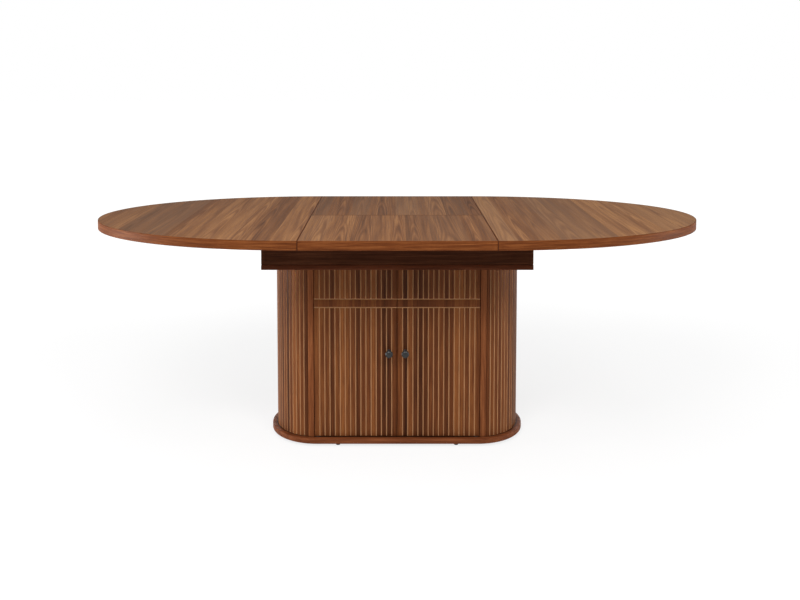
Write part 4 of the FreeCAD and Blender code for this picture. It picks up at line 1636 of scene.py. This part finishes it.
@dataclass
class Studio:
    """Pale floor, soft lamps and the camera at the photograph's angle."""

    eye: Triple = (-0.0124, -2.9528, 1.2876)
    tilt: float = 3.718
    lens: float = 37.621
    sensor: float = 36.0
    shift: Pair = (0.00813, -0.22)
    sky: float = 0.13
    mirrored_sky: float = 0.46
    sky_colour: Colour = (1.0, 1.0, 1.0, 1.0)
    floor_size: float = 60.0
    floor_colour: Colour = (0.7, 0.7, 0.7, 1.0)
    floor_white: float = 1.1
    floor_glow: float = 0.72
    floor_fade: Pair = (1.2, 4.0)
    aim: Triple = (0.0, 0.0, 0.45)
    lamps: tuple[Lamp, ...] = (
        Lamp("overhead", (0.0, -0.4, 3.4), 3.0, 50.0),
        Lamp("key", (-1.0, -2.7, 3.1), 1.5, 92.0),
        Lamp("left", (-3.2, -0.45, 0.38), 0.75, 66.0),
        Lamp("right", (3.2, -0.45, 0.38), 0.75, 36.0),
        Lamp("fill", (1.6, -2.7, 3.1), 1.5, 59.0),
        Lamp("back_left", (-1.5, 2.9, 0.37), 0.7, 34.0),
        Lamp("back_right", (1.5, 2.9, 0.37), 0.7, 34.0),
    )

    def camera(self) -> None:
        """Camera with its tilt below the horizon, no turn and no depth of field."""
        data = bpy.data.cameras.new("view")
        data.lens = self.lens
        data.sensor_width = self.sensor
        data.shift_x, data.shift_y = self.shift
        camera = bpy.data.objects.new("view", data)
        camera.location = self.eye
        camera.rotation_euler = (math.radians(90 - self.tilt), 0, 0)
        bpy.context.scene.collection.objects.link(camera)
        bpy.context.scene.camera = camera

    def floor(self) -> None:
        """Floor that takes the table's shadow.

        What the camera sees of it is partly its own white, wholly so far from the table.
        """
        half = self.floor_size / 2
        plan = rectangle(-half, half, -half, half)
        mesh = bpy.data.meshes.new("floor")
        mesh.from_pydata([(*place, 0.0) for place in plan.tolist()], [], [[0, 1, 2, 3]])
        floor = bpy.data.objects.new("floor", mesh)
        bpy.context.scene.collection.objects.link(floor)
        shader = Shader("floor_white")
        seen, glossy, through = shader.rays()
        matt = shader.node("ShaderNodeBsdfDiffuse", {}, {"Color": self.floor_colour})
        glow = shader.node("ShaderNodeEmission", {}, {"Strength": self.floor_white})
        away = shader.length(shader.spot()).rise(*self.floor_fade)
        share = self.floor_glow + (1 - self.floor_glow) * away
        factor = seen.most(glossy).most(through) * share
        mixed = shader.node("ShaderNodeMixShader", {}, {0: factor, 1: matt, 2: glow})
        shader.node("ShaderNodeOutputMaterial", {}, {"Surface": mixed})
        mesh.materials.append(shader.material)

    def world(self) -> None:
        """White to the eye, softer in reflections and as a light."""
        world = bpy.data.worlds.new("studio")
        world.use_nodes = True
        bpy.context.scene.world = world
        shader = Shader("studio", world.node_tree)
        seen, glossy, through = shader.rays()
        mirrored = (self.mirrored_sky - self.sky) * glossy
        strength = self.sky + mirrored.most((1 - self.sky) * seen.most(through))
        sky = shader.node("ShaderNodeBackground", {}, {"Strength": strength, "Color": self.sky_colour})
        shader.node("ShaderNodeOutputWorld", {}, {"Surface": sky})

    def build(self) -> None:
        """Set up the camera, the floor and the light."""
        self.camera()
        self.floor()
        self.world()
        for lamp in self.lamps:
            lamp.build(self.aim)
        bpy.context.scene.view_settings.view_transform = "Standard"


def main() -> None:
    """Build and dress the table and set up the studio."""
    logging.basicConfig(level=logging.INFO, format="%(message)s")
    for assembly in (TableTop(), ApronTray(), Pedestal(), Doors(), Fittings(HARDWARE), Studio()):
        assembly.build()


if __name__ == "__main__":
    main()
